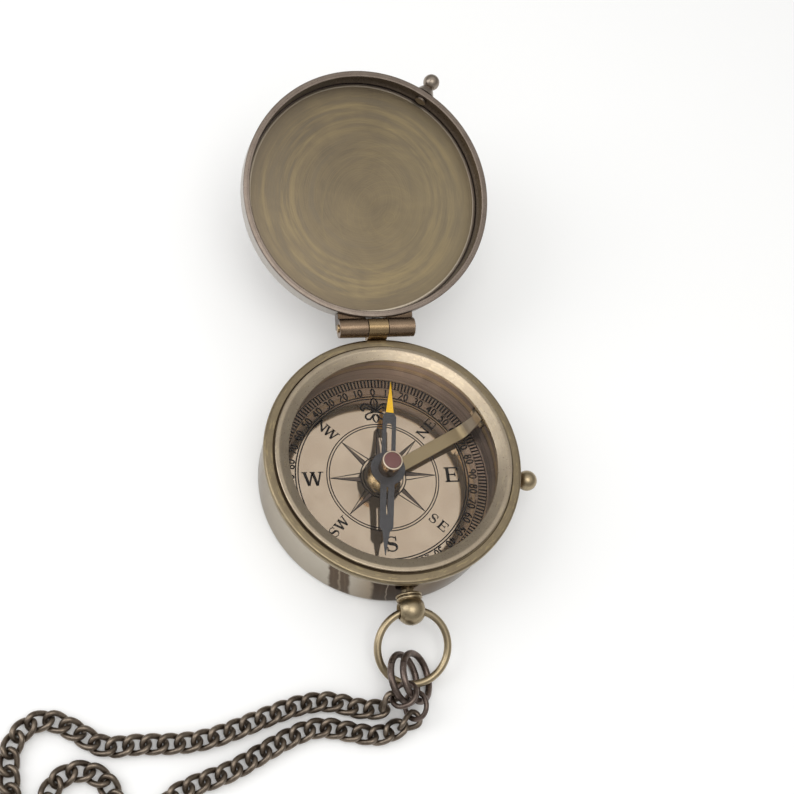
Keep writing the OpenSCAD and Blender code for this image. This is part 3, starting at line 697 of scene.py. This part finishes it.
def make_needle():
    """The slotted bar with its hub, the painted tip, and the cup that turns on the pivot."""
    at = turn_z(NEEDLE_DIR) @ Matrix.Translation((0, 0, NEEDLE_Z))
    hub = round_points(3.415, range(24, 157, 6))
    low_hub = [(x, -y) for x, y in hub[::-1]]
    w = 1.35
    outline = [(12.0, -0.775), (12.0, 0.775), (11.1, w)] + hub + [
        (-12.1, w), (-12.5, 1.1), (-12.91, 0.725), (-17.6, 0.05), (-17.6, -0.05),
        (-12.91, -0.725), (-12.5, -1.1), (-12.1, -w)] + low_hub + [(11.1, -w)]
    wide_slot = [(3.6, -0.55), (9.3, -0.55), (9.62, -0.3), (9.7, 0), (9.62, 0.3), (9.3, 0.55),
                 (3.6, 0.55)]
    thin_slot = [(-3.9, 0.15), (-9.3, 0.15), (-9.6, 0.08), (-9.6, -0.08), (-9.3, -0.15),
                 (-3.9, -0.15)]
    bm = bmesh.new()
    edges = []
    for loop in (outline, wide_slot, thin_slot, round_points(0.75, range(0, 360, 15))):
        vs = [bm.verts.new((x, y, NEEDLE_THICK)) for x, y in loop]
        edges += [bm.edges.new((vs[i], vs[(i + 1) % len(vs)])) for i in range(len(vs))]
    bmesh.ops.triangle_fill(bm, edges=edges, use_beauty=True)
    for f in bm.faces:
        if f.normal.z < 0:
            f.normal_flip()
    body = bmesh.ops.extrude_face_region(bm, geom=list(bm.faces))
    bmesh.ops.translate(bm, vec=(0, 0, -NEEDLE_THICK),
                        verts=[v for v in body["geom"] if isinstance(v, bmesh.types.BMVert)])
    keep("needle_bar", mesh_of("needle", bm, at), SLATE, "needle", ("needle",), 30, bevel=0.04)
    tip = slab([(12.0, 0.775), (12.0, -0.775), (18.85, -0.02), (18.85, 0.02)], 0, NEEDLE_THICK)
    keep("needle_tip", mesh_of("tip", tip, at), YELLOW, "needle", ("needle_north_tip",), 30, bevel=0.03)
    cap = rounded([(0, 10.4), (0.7, 10.4), (0.7, 7.5), (1.96, 7.5), (1.96, 11.6), (1.63, 11.6),
                   (1.63, 11.2), (0, 11.2)], [0, 0, 0, 0.12, 0.14, 0.05, 0, 0], 5)
    keep("needle_hub_cap", mesh_of("cap", lathe(cap, 96)), CAP, "needle", ("needle_cap",))
    jewel = rounded([(0, 11.2), (1.63, 11.2), (1.63, 11.58), (0, 11.6)], [0, 0, 0.06, 0], 3)
    keep("cap_disc", mesh_of("jewel", lathe(jewel, 96)), JEWEL, "needle", ("cap_jewel",))


def make_lever():
    """The strip is swept along its side line, so that its bends are round."""
    line = rounded([(-2.1, 4.625), (3.2, 4.625), (18.8, 5.475), (20.92, 8.85), (20.92, 11.3)],
                   [0, 0, 2.4, 1.8, 0], 9)
    bm = bmesh.new()
    rows = []
    n = len(line)
    for i, (x, z) in enumerate(line):
        w = 1.35 - 0.3 * min(1.0, max(0.0, (x - 18.9) / 1.8))
        a, b = Vector(line[max(0, i - 1)]), Vector(line[min(n - 1, i + 1)])
        t = (b - a).normalized()
        up = Vector((-t.y, t.x)) * 0.165
        rows.append([bm.verts.new((x + s * up.x, y, z + s * up.y)) for s, y in
                     ((-1, -w), (1, -w), (1, w), (-1, w))])
    for a, b in zip(rows, rows[1:]):
        for k in range(4):
            q = (k + 1) % 4
            bm.faces.new((a[k], b[k], b[q], a[q]))
    bm.faces.new(rows[0])
    bm.faces.new(rows[-1][::-1])
    ring = lathe(rounded([(1.35, 4.45), (2.1, 4.45), (2.1, 4.8), (1.35, 4.8)],
                         [0, .05, .05, 0], 2), 64)
    keep("lever_strip", mesh_of("lever", bm, turn_z(LEVER_DIR)), LEVER, "lever",
         ("arrest_lever",), 30, bevel=0.06)
    keep("lever_eye", mesh_of("eye", ring, turn_z(LEVER_DIR)), LEVER, "lever")
    copy_of("arrest_arm", "lever_arm", GOLD, "lever", 0.04)
    copy_of("lever_bracket", "lever_bearing", LEVER, "case", 0.04)
    pin = lathe(rounded([(0, -1.75), (0.3, -1.75), (0.3, 1.75), (0, 1.75)],
                        [0, .05, .05, 0], 2), 32)
    place = turn_z(LEVER_DIR) @ Matrix.Translation((21.3, 0, 9.6)) @ turned(90, "X")
    keep("lever_axle", mesh_of("axle", pin, place), STEEL, "case", ("lever_pin",))


def ball_line(r, middle, first):
    """Half outline of a ball on its axis, from an angle round to the far pole."""
    turns = [first + (math.pi - first) * k / 24 for k in range(24)]
    return [(r * math.sin(t), middle - r * math.cos(t)) for t in turns] + [(0, middle + r)]


def make_button():
    """The arrest button: a pointed stem through the wall, a low collar and a ball."""
    stem, neck, ball = 0.75, 0.645, 2.0
    line = [(0, 21.1), (0.1, 21.1), (stem, 22.9), (stem, 25.12), (1.06, 25.12), (1.12, 25.2),
            (1.12, 25.6), (1.0, 25.72), (neck, 25.77)]
    line += ball_line(ball, 27.3, math.asin(neck / ball))
    keep("button_knob", mesh_of("button", lathe(line, 96), out_along(BUTTON_DIR, BUTTON_Z)), OLIVE,
         "button", ("arrest_button",))


# ---------------------------------------------------------------- hinge and lid
def make_hinge():
    """The case's middle barrel, the rod, and the lid's two barrels."""
    copy_of("case_knuckle", "hinge_middle", GOLD, "case", 0.08)
    pin = lathe(rounded([(0, -7.9), (0.8, -7.9), (0.8, 7.9), (0, 7.9)], [0, .2, .2, 0], 4), 64)
    place = Matrix.Translation(Vector(HINGE)) @ turned(90, "Y")
    keep("hinge_rod", mesh_of("rod", pin, place), GOLD, "case", ("hinge_pin",))
    copy_of("lid_knuckle_left", "hinge_left", HINGE_BRASS, "lid", 0.08)
    copy_of("lid_knuckle_right", "hinge_right", HINGE_BRASS, "lid", 0.08)


def make_lid():
    """The cover, the brushed disc in it, and its knob, riveted through the cover's wall."""
    shell = rounded([(0, 18.1), (23.69, 18.1), (23.69, 13.9), (24.9, 13.9), (24.9, 19.0), (0, 19.0)],
                    [0, 0.1, 0.15, 0.2, 1.0, 0], 8)
    keep("lid_cover", mesh_of("lid", lathe(shell), opened()), LID_BRASS, "lid", ("lid_shell",))
    liner = rounded([(0, 17.8), (23.2, 17.8), (23.49, 17.86), (23.49, 18.1), (0, 18.1)],
                    [0, .08, 0, 0, 0], 3)
    keep("lid_disc", mesh_of("liner", lathe(liner), opened()), LINER, "lid", ("lid_liner",))
    line = [(0, 23.206), (1.12, 23.206), (1.12, 23.59), (0.75, 23.59), (0.75, 24.95), (2.0, 24.95),
            (2.08, 25.02), (1.86, 25.45), (1.5, 26.05), (1.3, 26.36), (1.14, 26.5), (0.72, 26.56)]
    line += ball_line(1.65, 28.1, 0.42)
    keep("lid_ball", mesh_of("knob", lathe(line, 96), opened() @ out_along(KNOB_DIR, LID_KNOB_Z)),
         KNOB, "lid", ("lid_knob",))


# ---------------------------------------------------------------- pendant, bow and chain
def make_pendant():
    """The ribbed stem riveted through the case wall, the drilled ball on it, and the bow."""
    stem = [(0, 22.55), (2.0, 22.55), (2.0, 22.95), (1.9, 23.05), (1.2, 23.05), (1.2, 25.19)]
    for a, r, thick in ((25.19, 2.45, 0.5), (25.8, 2.4, 0.52)):
        b = a + thick
        stem += [(r - 0.16, a), (r - 0.04, a + 0.06), (r, a + 0.16), (r, b - 0.16),
                 (r - 0.04, b - 0.06), (r - 0.16, b), (2.1, b + 0.03), (2.1, b + 0.07)]
    for k in range(9):
        r = 1.98 - (1.98 - 1.0) * k / 8
        stem.append((r, 28.19 - math.sqrt(2.8 ** 2 - r * r)))
    stem += [(1.0, 26.95), (0, 26.95)]
    keep("pendant_collar", mesh_of("stem", lathe(stem, 128), out_along(-90, PENDANT_Z)), OLIVE, "case",
         ("pendant_stem",), 40)
    ball = [(1.0, -0.92), (1.0, 0.92), (1.36, 2.2), (1.44, 2.3)]
    first = math.asin(1.5 / 2.75)
    for k in range(33):
        t = first + (math.pi - 2 * first) * k / 32
        ball.append((2.75 * math.sin(t), 2.75 * math.cos(t)))
    ball += [(1.44, -2.3), (1.36, -2.2)]
    at_ball = Matrix.Translation(Vector(BALL_AT))
    keep("pendant_sphere", mesh_of("ball", lathe(ball, 128), at_ball @ turned(90, "Y")), OLIVE,
         "case", ("pendant_ball",))
    hang = at_ball @ turned(BOW_DROP, "X") @ Matrix.Translation((0, -BOW_R, 0))
    circle = [(BOW_R * math.cos(t), BOW_R * math.sin(t), 0) for t in
              [2 * math.pi * k / 160 for k in range(160)]]
    keep("bow", mesh_of("bow", wire_loop(circle, BOW_WIRE, 24), hang), OLIVE, "bow", ("bow_ring",))


def split_ring(r, wire, place, name, node, seam_at):
    """A bent wire ring: its two ends meet at a fine seam."""
    pts = []
    n = 120
    for k in range(n + 1):
        t = math.radians(seam_at) + (2 * math.pi - 0.02) * k / n + 0.01
        pts.append((r * math.cos(t), r * math.sin(t), 0))
    bm = wire_loop(pts, wire, 20, closed=False)
    keep(name, mesh_of(name, bm, place), RING_WIRE, "bow", (node,), 50)


def make_rings():
    """Two jump rings lean on the floor in the bow, and a small ring joins each strand to them."""
    r, wire, lean = 4.4, 0.62, 45
    z = r * math.cos(math.radians(lean)) + wire + 0.05
    for name, node, x in (("jump_wire_a", "jump_ring_a", -2.3), ("jump_wire_b", "jump_ring_b", 0.0)):
        split_ring(r, wire, Matrix.Translation((x, -39.7, z)) @ turned(lean, "Y"), name, node, 150)
    for name, node, at, lean, way in (
            ("end_wire_a", "end_ring_a", (-3.126, -42.912, 5.249), 43.5, 140.1),
            ("end_wire_b", "end_ring_b", (-0.673, -44.627, 2.932), 51.4, 181.6)):
        place = Matrix.Translation(at) @ turn_z(way) @ turned(lean, "Y")
        split_ring(2.4, 0.46, place, name, node, 40)


PITCH = 2.9
LINK_WIRE = 0.5
LINK_Z = 1.07
LINK_CORNERS = [(2.05, 1.014, -1.179), (0, 1.454, 0), (-2.05, 1.014, 1.179),
                (-2.05, -1.014, -1.179), (0, -1.454, 0), (2.05, -1.014, 1.179)]
# a strand's start, its heading, and how far it turns over each two links
STRAND_A = ((-7.535, -44.129), 177.0, [
    -21, 26, 12, 2, -3, -13, -7, 8, -42, 14, 66, 49, 7, -7, 3, -16, 13, 65, 66, 53, 9, 2, 4,
    -48, -66, -58, -28, -11.4, -6.9, 14.6, 52.6, 42.5])
STRAND_B = ((-4.609, -48.01), 203.4, [
    -40, 0, 32, 8, 0, -12, 9, 54, 33, 8.7, -21.6, -54.4, -41.3])
FIRST_LINKS = [((-5.738, -43.373, 3.243), (-102.9, -46.1, 37.1)),
               ((-2.037, -47.177, 1.79), (43.9, -6.2, 24.2))]
# the links of each strand between the bow and the floor
BEND_FROM, BEND_TO = 1, 12


def link_line(steps=7):
    """The middle line of one twisted link: its six corners rounded."""
    pts = [Vector(c) for c in LINK_CORNERS]
    out = []
    end_room = math.hypot(1.014, 1.179)
    side_room = (pts[0] - pts[1]).length - end_room
    for i, p in enumerate(pts):
        reach = 0.94 * (side_room if i % 3 == 1 else end_room)
        u, v = (p - pts[i - 1]).normalized(), (pts[(i + 1) % 6] - p).normalized()
        th = u.angle(v)
        n = (v - u * u.dot(v)).normalized()
        r = reach / math.tan(th / 2)
        c = p - reach * u + r * n
        count = 3 if i % 3 == 1 else steps
        for k in range(count + 1):
            a = th * k / count
            out.append(c - r * n * math.cos(a) + r * u * math.sin(a))
    return out


def along(route, far):
    """Place and heading of a strand after a distance."""
    (x, y), head, turns = route
    left = far
    for i, turn in enumerate(turns):
        last = left <= 2 * PITCH + 1e-9 or i == len(turns) - 1
        step = left if last else 2 * PITCH
        a = turn * step / (2 * PITCH)
        d = step if abs(a) < 1e-3 else step * math.sin(math.radians(a / 2)) * 360 / (math.pi * a)
        x += d * math.cos(math.radians(head + a / 2))
        y += d * math.sin(math.radians(head + a / 2))
        head += a
        left -= step
        if left <= 1e-9:
            break
    return x, y, head


def link_spots(route, first, last):
    """Place and turn of the links of a strand, from one count to another."""
    out = []
    for i in range(first, last + 1):
        x, y, head = along(route, i * PITCH)
        out.append(((x, y, LINK_Z), (0.0, 0.0, head)))
    return out


def chain_tree(link):
    """Geometry Nodes: a link on every point, turned by the point's own angles."""
    tree = bpy.data.node_groups.new("links_on_points", "GeometryNodeTree")
    tree.interface.new_socket("Points", in_out="INPUT", socket_type="NodeSocketGeometry")
    tree.interface.new_socket("Link size", in_out="INPUT", socket_type="NodeSocketFloat")
    tree.interface.new_socket("Links", in_out="OUTPUT", socket_type="NodeSocketGeometry")
    nodes, links = tree.nodes, tree.links
    start, stop = nodes.new("NodeGroupInput"), nodes.new("NodeGroupOutput")
    info = nodes.new("GeometryNodeObjectInfo")
    info.inputs["Object"].default_value = link
    turn = nodes.new("GeometryNodeInputNamedAttribute")
    turn.data_type = "FLOAT_VECTOR"
    turn.inputs["Name"].default_value = "turn"
    put = nodes.new("GeometryNodeInstanceOnPoints")
    links.new(start.outputs["Points"], put.inputs["Points"])
    links.new(info.outputs["Geometry"], put.inputs["Instance"])
    links.new(turn.outputs["Attribute"], put.inputs["Rotation"])
    links.new(start.outputs["Link size"], put.inputs["Scale"])
    real = nodes.new("GeometryNodeRealizeInstances")
    links.new(put.outputs["Instances"], real.inputs[0])
    paint = nodes.new("GeometryNodeSetMaterial")
    paint.inputs["Material"].default_value = CHAIN
    links.new(real.outputs[0], paint.inputs["Geometry"])
    links.new(paint.outputs[0], stop.inputs["Links"])
    return tree


def run_of_links(name, tree, spots):
    """The links at the spots as one plain mesh."""
    data = bpy.data.meshes.new(name + "_points")
    data.from_pydata([[c * MM for c in at] for at, _ in spots], [], [])
    turns = data.attributes.new("turn", "FLOAT_VECTOR", "POINT")
    for i, (_, turn) in enumerate(spots):
        turns.data[i].vector = [math.radians(a) for a in turn]
    holder = bpy.data.objects.new(name + "_points", data)
    bpy.context.scene.collection.objects.link(holder)
    mod = holder.modifiers.new("links", "NODES")
    mod.node_group = tree
    for item in tree.interface.items_tree:
        if item.item_type == "SOCKET" and item.name == "Link size":
            mod[item.identifier] = 1.0
    graph = bpy.context.evaluated_depsgraph_get()
    made = bpy.data.meshes.new_from_object(holder.evaluated_get(graph))
    holder.modifiers.remove(mod)
    bpy.data.objects.remove(holder)
    return made


def make_chain():
    """Links on the bow, on the floor, and two runs of links between them."""
    link = bpy.data.objects.new("link_pattern", mesh_of("link", wire_loop(link_line(), LINK_WIRE, 10)))
    bpy.context.scene.collection.objects.link(link)
    tree = chain_tree(link)
    lead = BEND_FROM - 1
    for name, body, node, spots in (
            ("chain_first", "bow", "chain_lead",
             FIRST_LINKS + link_spots(STRAND_A, 0, lead) + link_spots(STRAND_B, 0, lead)),
            ("chain_across", "case", "chain_strands",
             link_spots(STRAND_A, BEND_TO + 1, 16) + link_spots(STRAND_B, BEND_TO + 1, 15)),
            ("chain_pile", "case", "chain_heap", link_spots(STRAND_A, 17, 38)),
            ("chain_end", "case", "chain_tail",
             link_spots(STRAND_A, 39, 64) + link_spots(STRAND_B, 16, 25))):
        keep(name, run_of_links(name, tree, spots), CHAIN, body, (node,), 60)
    for name, route in (("chain_joint_a", STRAND_A), ("chain_joint_b", STRAND_B)):
        spots = link_spots(route, BEND_FROM, BEND_TO)
        piece = keep(name, run_of_links(name, tree, spots), CHAIN, None, (), 60)
        near, far = along(route, (BEND_FROM - 0.2) * PITCH), along(route, (BEND_TO + 0.2) * PITCH)
        near[0] * MM
        near[1] * MM
        far[0] * MM
        far[1] * MM
        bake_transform(piece)
    bpy.data.objects.remove(link)


# ---------------------------------------------------------------- the dial's artwork
def on_dial(parts, name, finish=INK):
    """Etched lines: thin dark plates just proud of the dial."""
    keep(name, mesh_of(name, joined(parts), turn_z(DIAL_TURN)), finish, "case", (), 30)


INK_LOW, INK_TOP = DIAL_TOP - 0.02, DIAL_TOP + 0.015
BOLD = 1.2  # how much heavier the letters' strokes are than drawn below
LILY_BOLD = 1.6


def ring_line(r, w):
    near, far = r - w / 2, r + w / 2
    return lathe([(near, INK_LOW), (far, INK_LOW), (far, INK_TOP), (near, INK_TOP)], 160)


def stroke(points, widths):
    """A line of changing width as one flat outline."""
    pts = [Vector(p) for p in points]
    left, right = [], []
    for i, (p, w) in enumerate(zip(pts, widths)):
        t = (pts[min(i + 1, len(pts) - 1)] - pts[max(i - 1, 0)]).normalized()
        side = Vector((-t.y, t.x)) * w / 2
        left.append(p + side)
        right.append(p - side)
    outline = [tuple(p) for p in left + right[::-1]]
    return slab(outline, INK_LOW, INK_TOP)


def bar(x0, y0, x1, y1, w):
    return stroke([(x0, y0), (x1, y1)], [w, w])


def letter(kind):
    """Slab serif capitals, 1 high, centred on their width."""
    h = 0.5

    def limb(x0, y0, x1, y1, w):
        return bar(x0, y0, x1, y1, w * BOLD)

    def serif(x0, x1, y, w=.06):
        return limb(x0, y, x1, y, w)

    top, foot = h - .03, -h + .03
    if kind == "N":
        return [limb(-.34, -h, -.34, h, .10), limb(.34, -h, .34, h, .10),
                limb(-.36, h - .02, .36, -h + .02, .15),
                serif(-.52, -.16, top), serif(.14, .52, top), serif(-.50, -.16, foot)]
    if kind == "W":
        return [limb(-.50, h, -.24, -h, .15), limb(-.24, -h, 0, h, .09),
                limb(0, h, .26, -h, .15), limb(.26, -h, .50, h, .09),
                serif(-.66, -.32, top), serif(-.16, .16, top), serif(.34, .66, top)]
    if kind == "E":
        return [limb(-.22, -h, -.22, h, .16), serif(-.40, .38, h - .035, .08),
                serif(-.40, .38, -h + .035, .08), serif(-.2, .20, 0, .08),
                limb(.36, h, .36, h - .24, .07), limb(.38, -h, .38, -h + .26, .07),
                limb(.20, -.13, .20, .13, .06)]
    pts, widths = [], []
    for k in range(41):
        t = k / 40
        if t < 0.5:
            a = math.radians(35 + 235 * (t / 0.5))
            pts.append((0.25 * math.cos(a), 0.245 + 0.235 * math.sin(a)))
        else:
            a = math.radians(90 - 235 * ((t - 0.5) / 0.5))
            pts.append((0.27 * math.cos(a), -0.235 + 0.245 * math.sin(a)))
        widths.append(BOLD * (0.07 + 0.12 * math.exp(-((t - 0.5) / 0.16) ** 2)))
    # the ends of the S keep thin serifs
    return [stroke(pts, widths), limb(.25, h, .25, .2, .06), limb(-.26, -h, -.26, -.18, .06)]


def figure(n):
    """The strokes of a plain number, 1 high and about 0.6 wide."""
    def arc(cx, cy, rx, ry, a0, a1, k=14):
        return [(cx + rx * math.cos(math.radians(a0 + (a1 - a0) * i / k)),
                 cy + ry * math.sin(math.radians(a0 + (a1 - a0) * i / k))) for i in range(k + 1)]
    return {
        "0": [arc(0, 0, .22, .44, 90, 450, 24)],
        "1": [[(-.12, .3), (.02, .46), (.02, -.48)]],
        "2": [arc(0, .24, .21, .22, 160, -40, 10) + [(-.22, -.44), (.24, -.44)]],
        "3": [arc(-.02, .23, .2, .21, 150, -80, 10) + arc(-.02, -.22, .23, .24, 80, -150, 10)],
        "4": [[(.1, -.48), (.1, .46)], [(.1, .44), (-.26, -.16)], [(-.3, -.18), (.28, -.18)]],
        "5": [[(.2, .44), (-.16, .44), (-.2, .06)] + arc(-.01, -.18, .22, .27, 120, -140, 12)],
        "6": [[(.14, .46)] + arc(0, -.1, .22, .44, 120, 190, 6) + arc(0, -.2, .22, .25, 200, 520, 18)],
        "7": [[(-.22, .44), (.24, .44), (-.06, -.48)]],
        "8": [arc(0, .23, .18, .21, 90, 450, 18), arc(0, -.22, .22, .24, 90, 450, 18)],
        "9": [arc(0, .2, .22, .25, -20, 340, 18) + arc(0, .06, .22, .5, 10, -60, 6)],
    }[n]


def put(size, r, bearing, upright):
    """Places letters made about their middle: at a bearing clockwise from north, size in mm."""
    a = math.radians(90 - bearing)
    at = Matrix.Translation((r * math.cos(a), r * math.sin(a), 0))
    return at @ turn_z(upright) @ Matrix.Diagonal((size, size, 1, 1))


def placed(bms, place):
    for bm in bms:
        bm.transform(place)
    return bms


def make_dial_art():
    """All that is etched: rings, star, letters, numbers, ticks and the lily."""
    rings = [ring_line(r, w) for r, w in (
        (3.98, .2), (4.55, .22), (10.76, .21), (11.26, .21), (16.9, .24), (17.42, .26), (19.5, .1),
        (21.15, .16))]
    on_dial(rings, "dial_rings")
    # eight-pointed star: half of each kite shaded, all of it outlined
    star, shaded = [], []
    for k in range(8):
        way = turn_z(90 - 45 * k)
        half = slab([(4.5, 0), (10.6, 0), (4.6, 0.86)], INK_LOW, INK_TOP - 0.005)
        shaded += placed([half], way)
        star += placed([stroke([(4.6, s * 0.86), (10.6, 0.01 * s)], [.21, .12]) for s in (1, -1)]
                       + [stroke([(4.5, 0), (10.4, 0)], [.12, .06])], way)
    on_dial(star, "dial_star")
    on_dial(shaded, "dial_star_shade", SHADE)
    # letters: the main ones upright, the others reading along their radius
    words = []
    for text, bearing, way, size, out in (
            ("W", 270, 0, 2.85, 14.05), ("E", 90, 0, 3.1, 14.0), ("S", 180, 0, 3.0, 13.9),
            ("NW", 315, -45, 2.05, 14.7), ("NE", 45, 45, 2.05, 14.4),
            ("SE", 135, -45, 1.95, 13.95), ("SW", 225, 45, 2.0, 14.4)):
        n = len(text)
        for i, c in enumerate(text):
            shift = (i - (n - 1) / 2) * 1.18
            words += placed(letter(c), put(size, out, bearing, way) @ Matrix.Translation((shift, 0, 0))
                            @ Matrix.Diagonal((1.15, 1, 1, 1)))
    on_dial(words, "dial_letters")
    # numbers 0 to 90 and back in each quarter, tops outwards
    numbers = []
    for step in range(36):
        bearing = step * 10
        value = bearing % 180
        value = value if value <= 90 else 180 - value
        text = str(value)
        for i, c in enumerate(text):
            shift = (i - (len(text) - 1) / 2) * 0.68
            shapes = [stroke(run, [.19] * len(run)) for run in figure(c)]
            numbers += placed(shapes, put(1.6, 18.42, bearing, -bearing) @ Matrix.Translation((shift, 0, 0)))
    on_dial(numbers, "dial_numbers")
    ticks = []
    for k in range(180):
        ticks += placed([bar(19.55, 0, 21.05, 0, 0.34)], turn_z(2 * k))
    on_dial(ticks, "dial_ticks")
    on_dial(fleur(), "dial_fleur")


def fleur():
    """The lily that marks north: a middle petal, two side petals that curl over, scrolls and a tail."""
    parts = [bar(-1.0, 0, 1.0, 0, .36), stroke([(0, 2.6), (0, .3)], [.16, .22])]
    for s in (1, -1):
        for run, wide in (
                ([(0, 3.2), (.38, 2.75), (.68, 2.2), (.62, 1.6), (.3, .8), (.2, .1)],
                 [.1, .2, .22, .22, .2, .2]),
                ([(.3, .2), (.75, .95), (1.35, 1.6), (2.0, 1.82), (2.6, 1.62), (2.92, 1.05),
                  (2.72, .45), (2.35, .2)], [.14, .2, .24, .26, .28, .28, .26, .18]),
                ([(.5, .15), (1.05, .62), (1.7, 1.0), (2.2, .85), (2.35, .2)],
                 [.12, .18, .2, .2, .16]),
                ([(.5, -.15), (1.3, -.22), (1.95, -.6), (2.1, -1.15), (1.75, -1.6), (1.2, -1.6),
                  (.8, -1.15), (.35, -.4)], [.14, .2, .24, .27, .28, .26, .22, .12]),
                ([(0, -.4), (.5, -1.1), (.55, -1.6), (.28, -2.1), (0, -2.4)],
                 [.14, .2, .22, .2, .1])):
            parts.append(stroke([(s * x, y) for x, y in run], [w * LILY_BOLD for w in wide]))
    return placed(parts, Matrix.Translation((0, 14.0, 0)))


# ---------------------------------------------------------------- floor and light
def make_stage():
    """A wide pale floor at the height that the case stands on."""
    data = bpy.data.meshes.new("floor")
    s = 1.5
    data.from_pydata([(-s, -s, 0), (s, -s, 0), (s, s, 0), (-s, s, 0)], [], [(0, 1, 2, 3)])
    floor = bpy.data.objects.new("floor", data)
    bpy.context.scene.collection.objects.link(floor)
    f = Finish("pale_floor")
    data.materials.append(f.end(linear((240, 240, 240)), 0.0, 0.7))


def make_light():
    """A bright room for the floor. What shines sees it softly graded: dim at the sides, bright overhead."""
    world = bpy.data.worlds.new("studio")
    world.use_nodes = True
    n = Nodes(world.node_tree)
    height = n.xyz(n.add("ShaderNodeTexCoord", out="Generated"))[2]
    levels = ((0.0, 0.44), (0.45, 0.36), (0.68, 0.50), (0.83, 0.80), (0.9, 0.9), (1.0, 0.86))
    stops = [(at, (v, v * 0.985, v * 0.96, 1)) for at, v in levels]
    graded = n.add("ShaderNodeValToRGB", {"stops": stops}, [height])
    shiny = n.add("ShaderNodeLightPath", out="Is Glossy Ray")
    back = world.node_tree.nodes["Background"]
    n._join(back.inputs["Color"], n.mix(shiny, (0.89, 0.89, 0.88, 1), graded))
    back.inputs["Strength"].default_value = 1.0
    bpy.context.scene.world = world
    for name, at, size, power, colour in (
            ("key_light", (-40, -90, 440), (0.30, 0.26), 0.5, (1.0, 0.985, 0.955)),
            ("side_light", (-330, 60, 240), (0.22, 0.30), 0.5, (0.97, 0.98, 1.0))):
        lamp = bpy.data.lights.new(name, "AREA")
        lamp.shape, lamp.size, lamp.size_y = "RECTANGLE", size[0], size[1]
        lamp.energy, lamp.color = power, colour
        obj = bpy.data.objects.new(name, lamp)
        obj.location = Vector(at) * MM
        obj.rotation_euler = (Vector((0, 0, 8)) - Vector(at)).to_track_quat("-Z", "Y").to_euler()
        bpy.context.scene.collection.objects.link(obj)


bpy.context.scene.view_settings.view_transform = "Standard"

make_case()
make_needle()
make_lever()
make_button()
make_hinge()
make_lid()
make_pendant()
make_rings()
make_chain()
make_dial_art()
make_stage()
make_light()
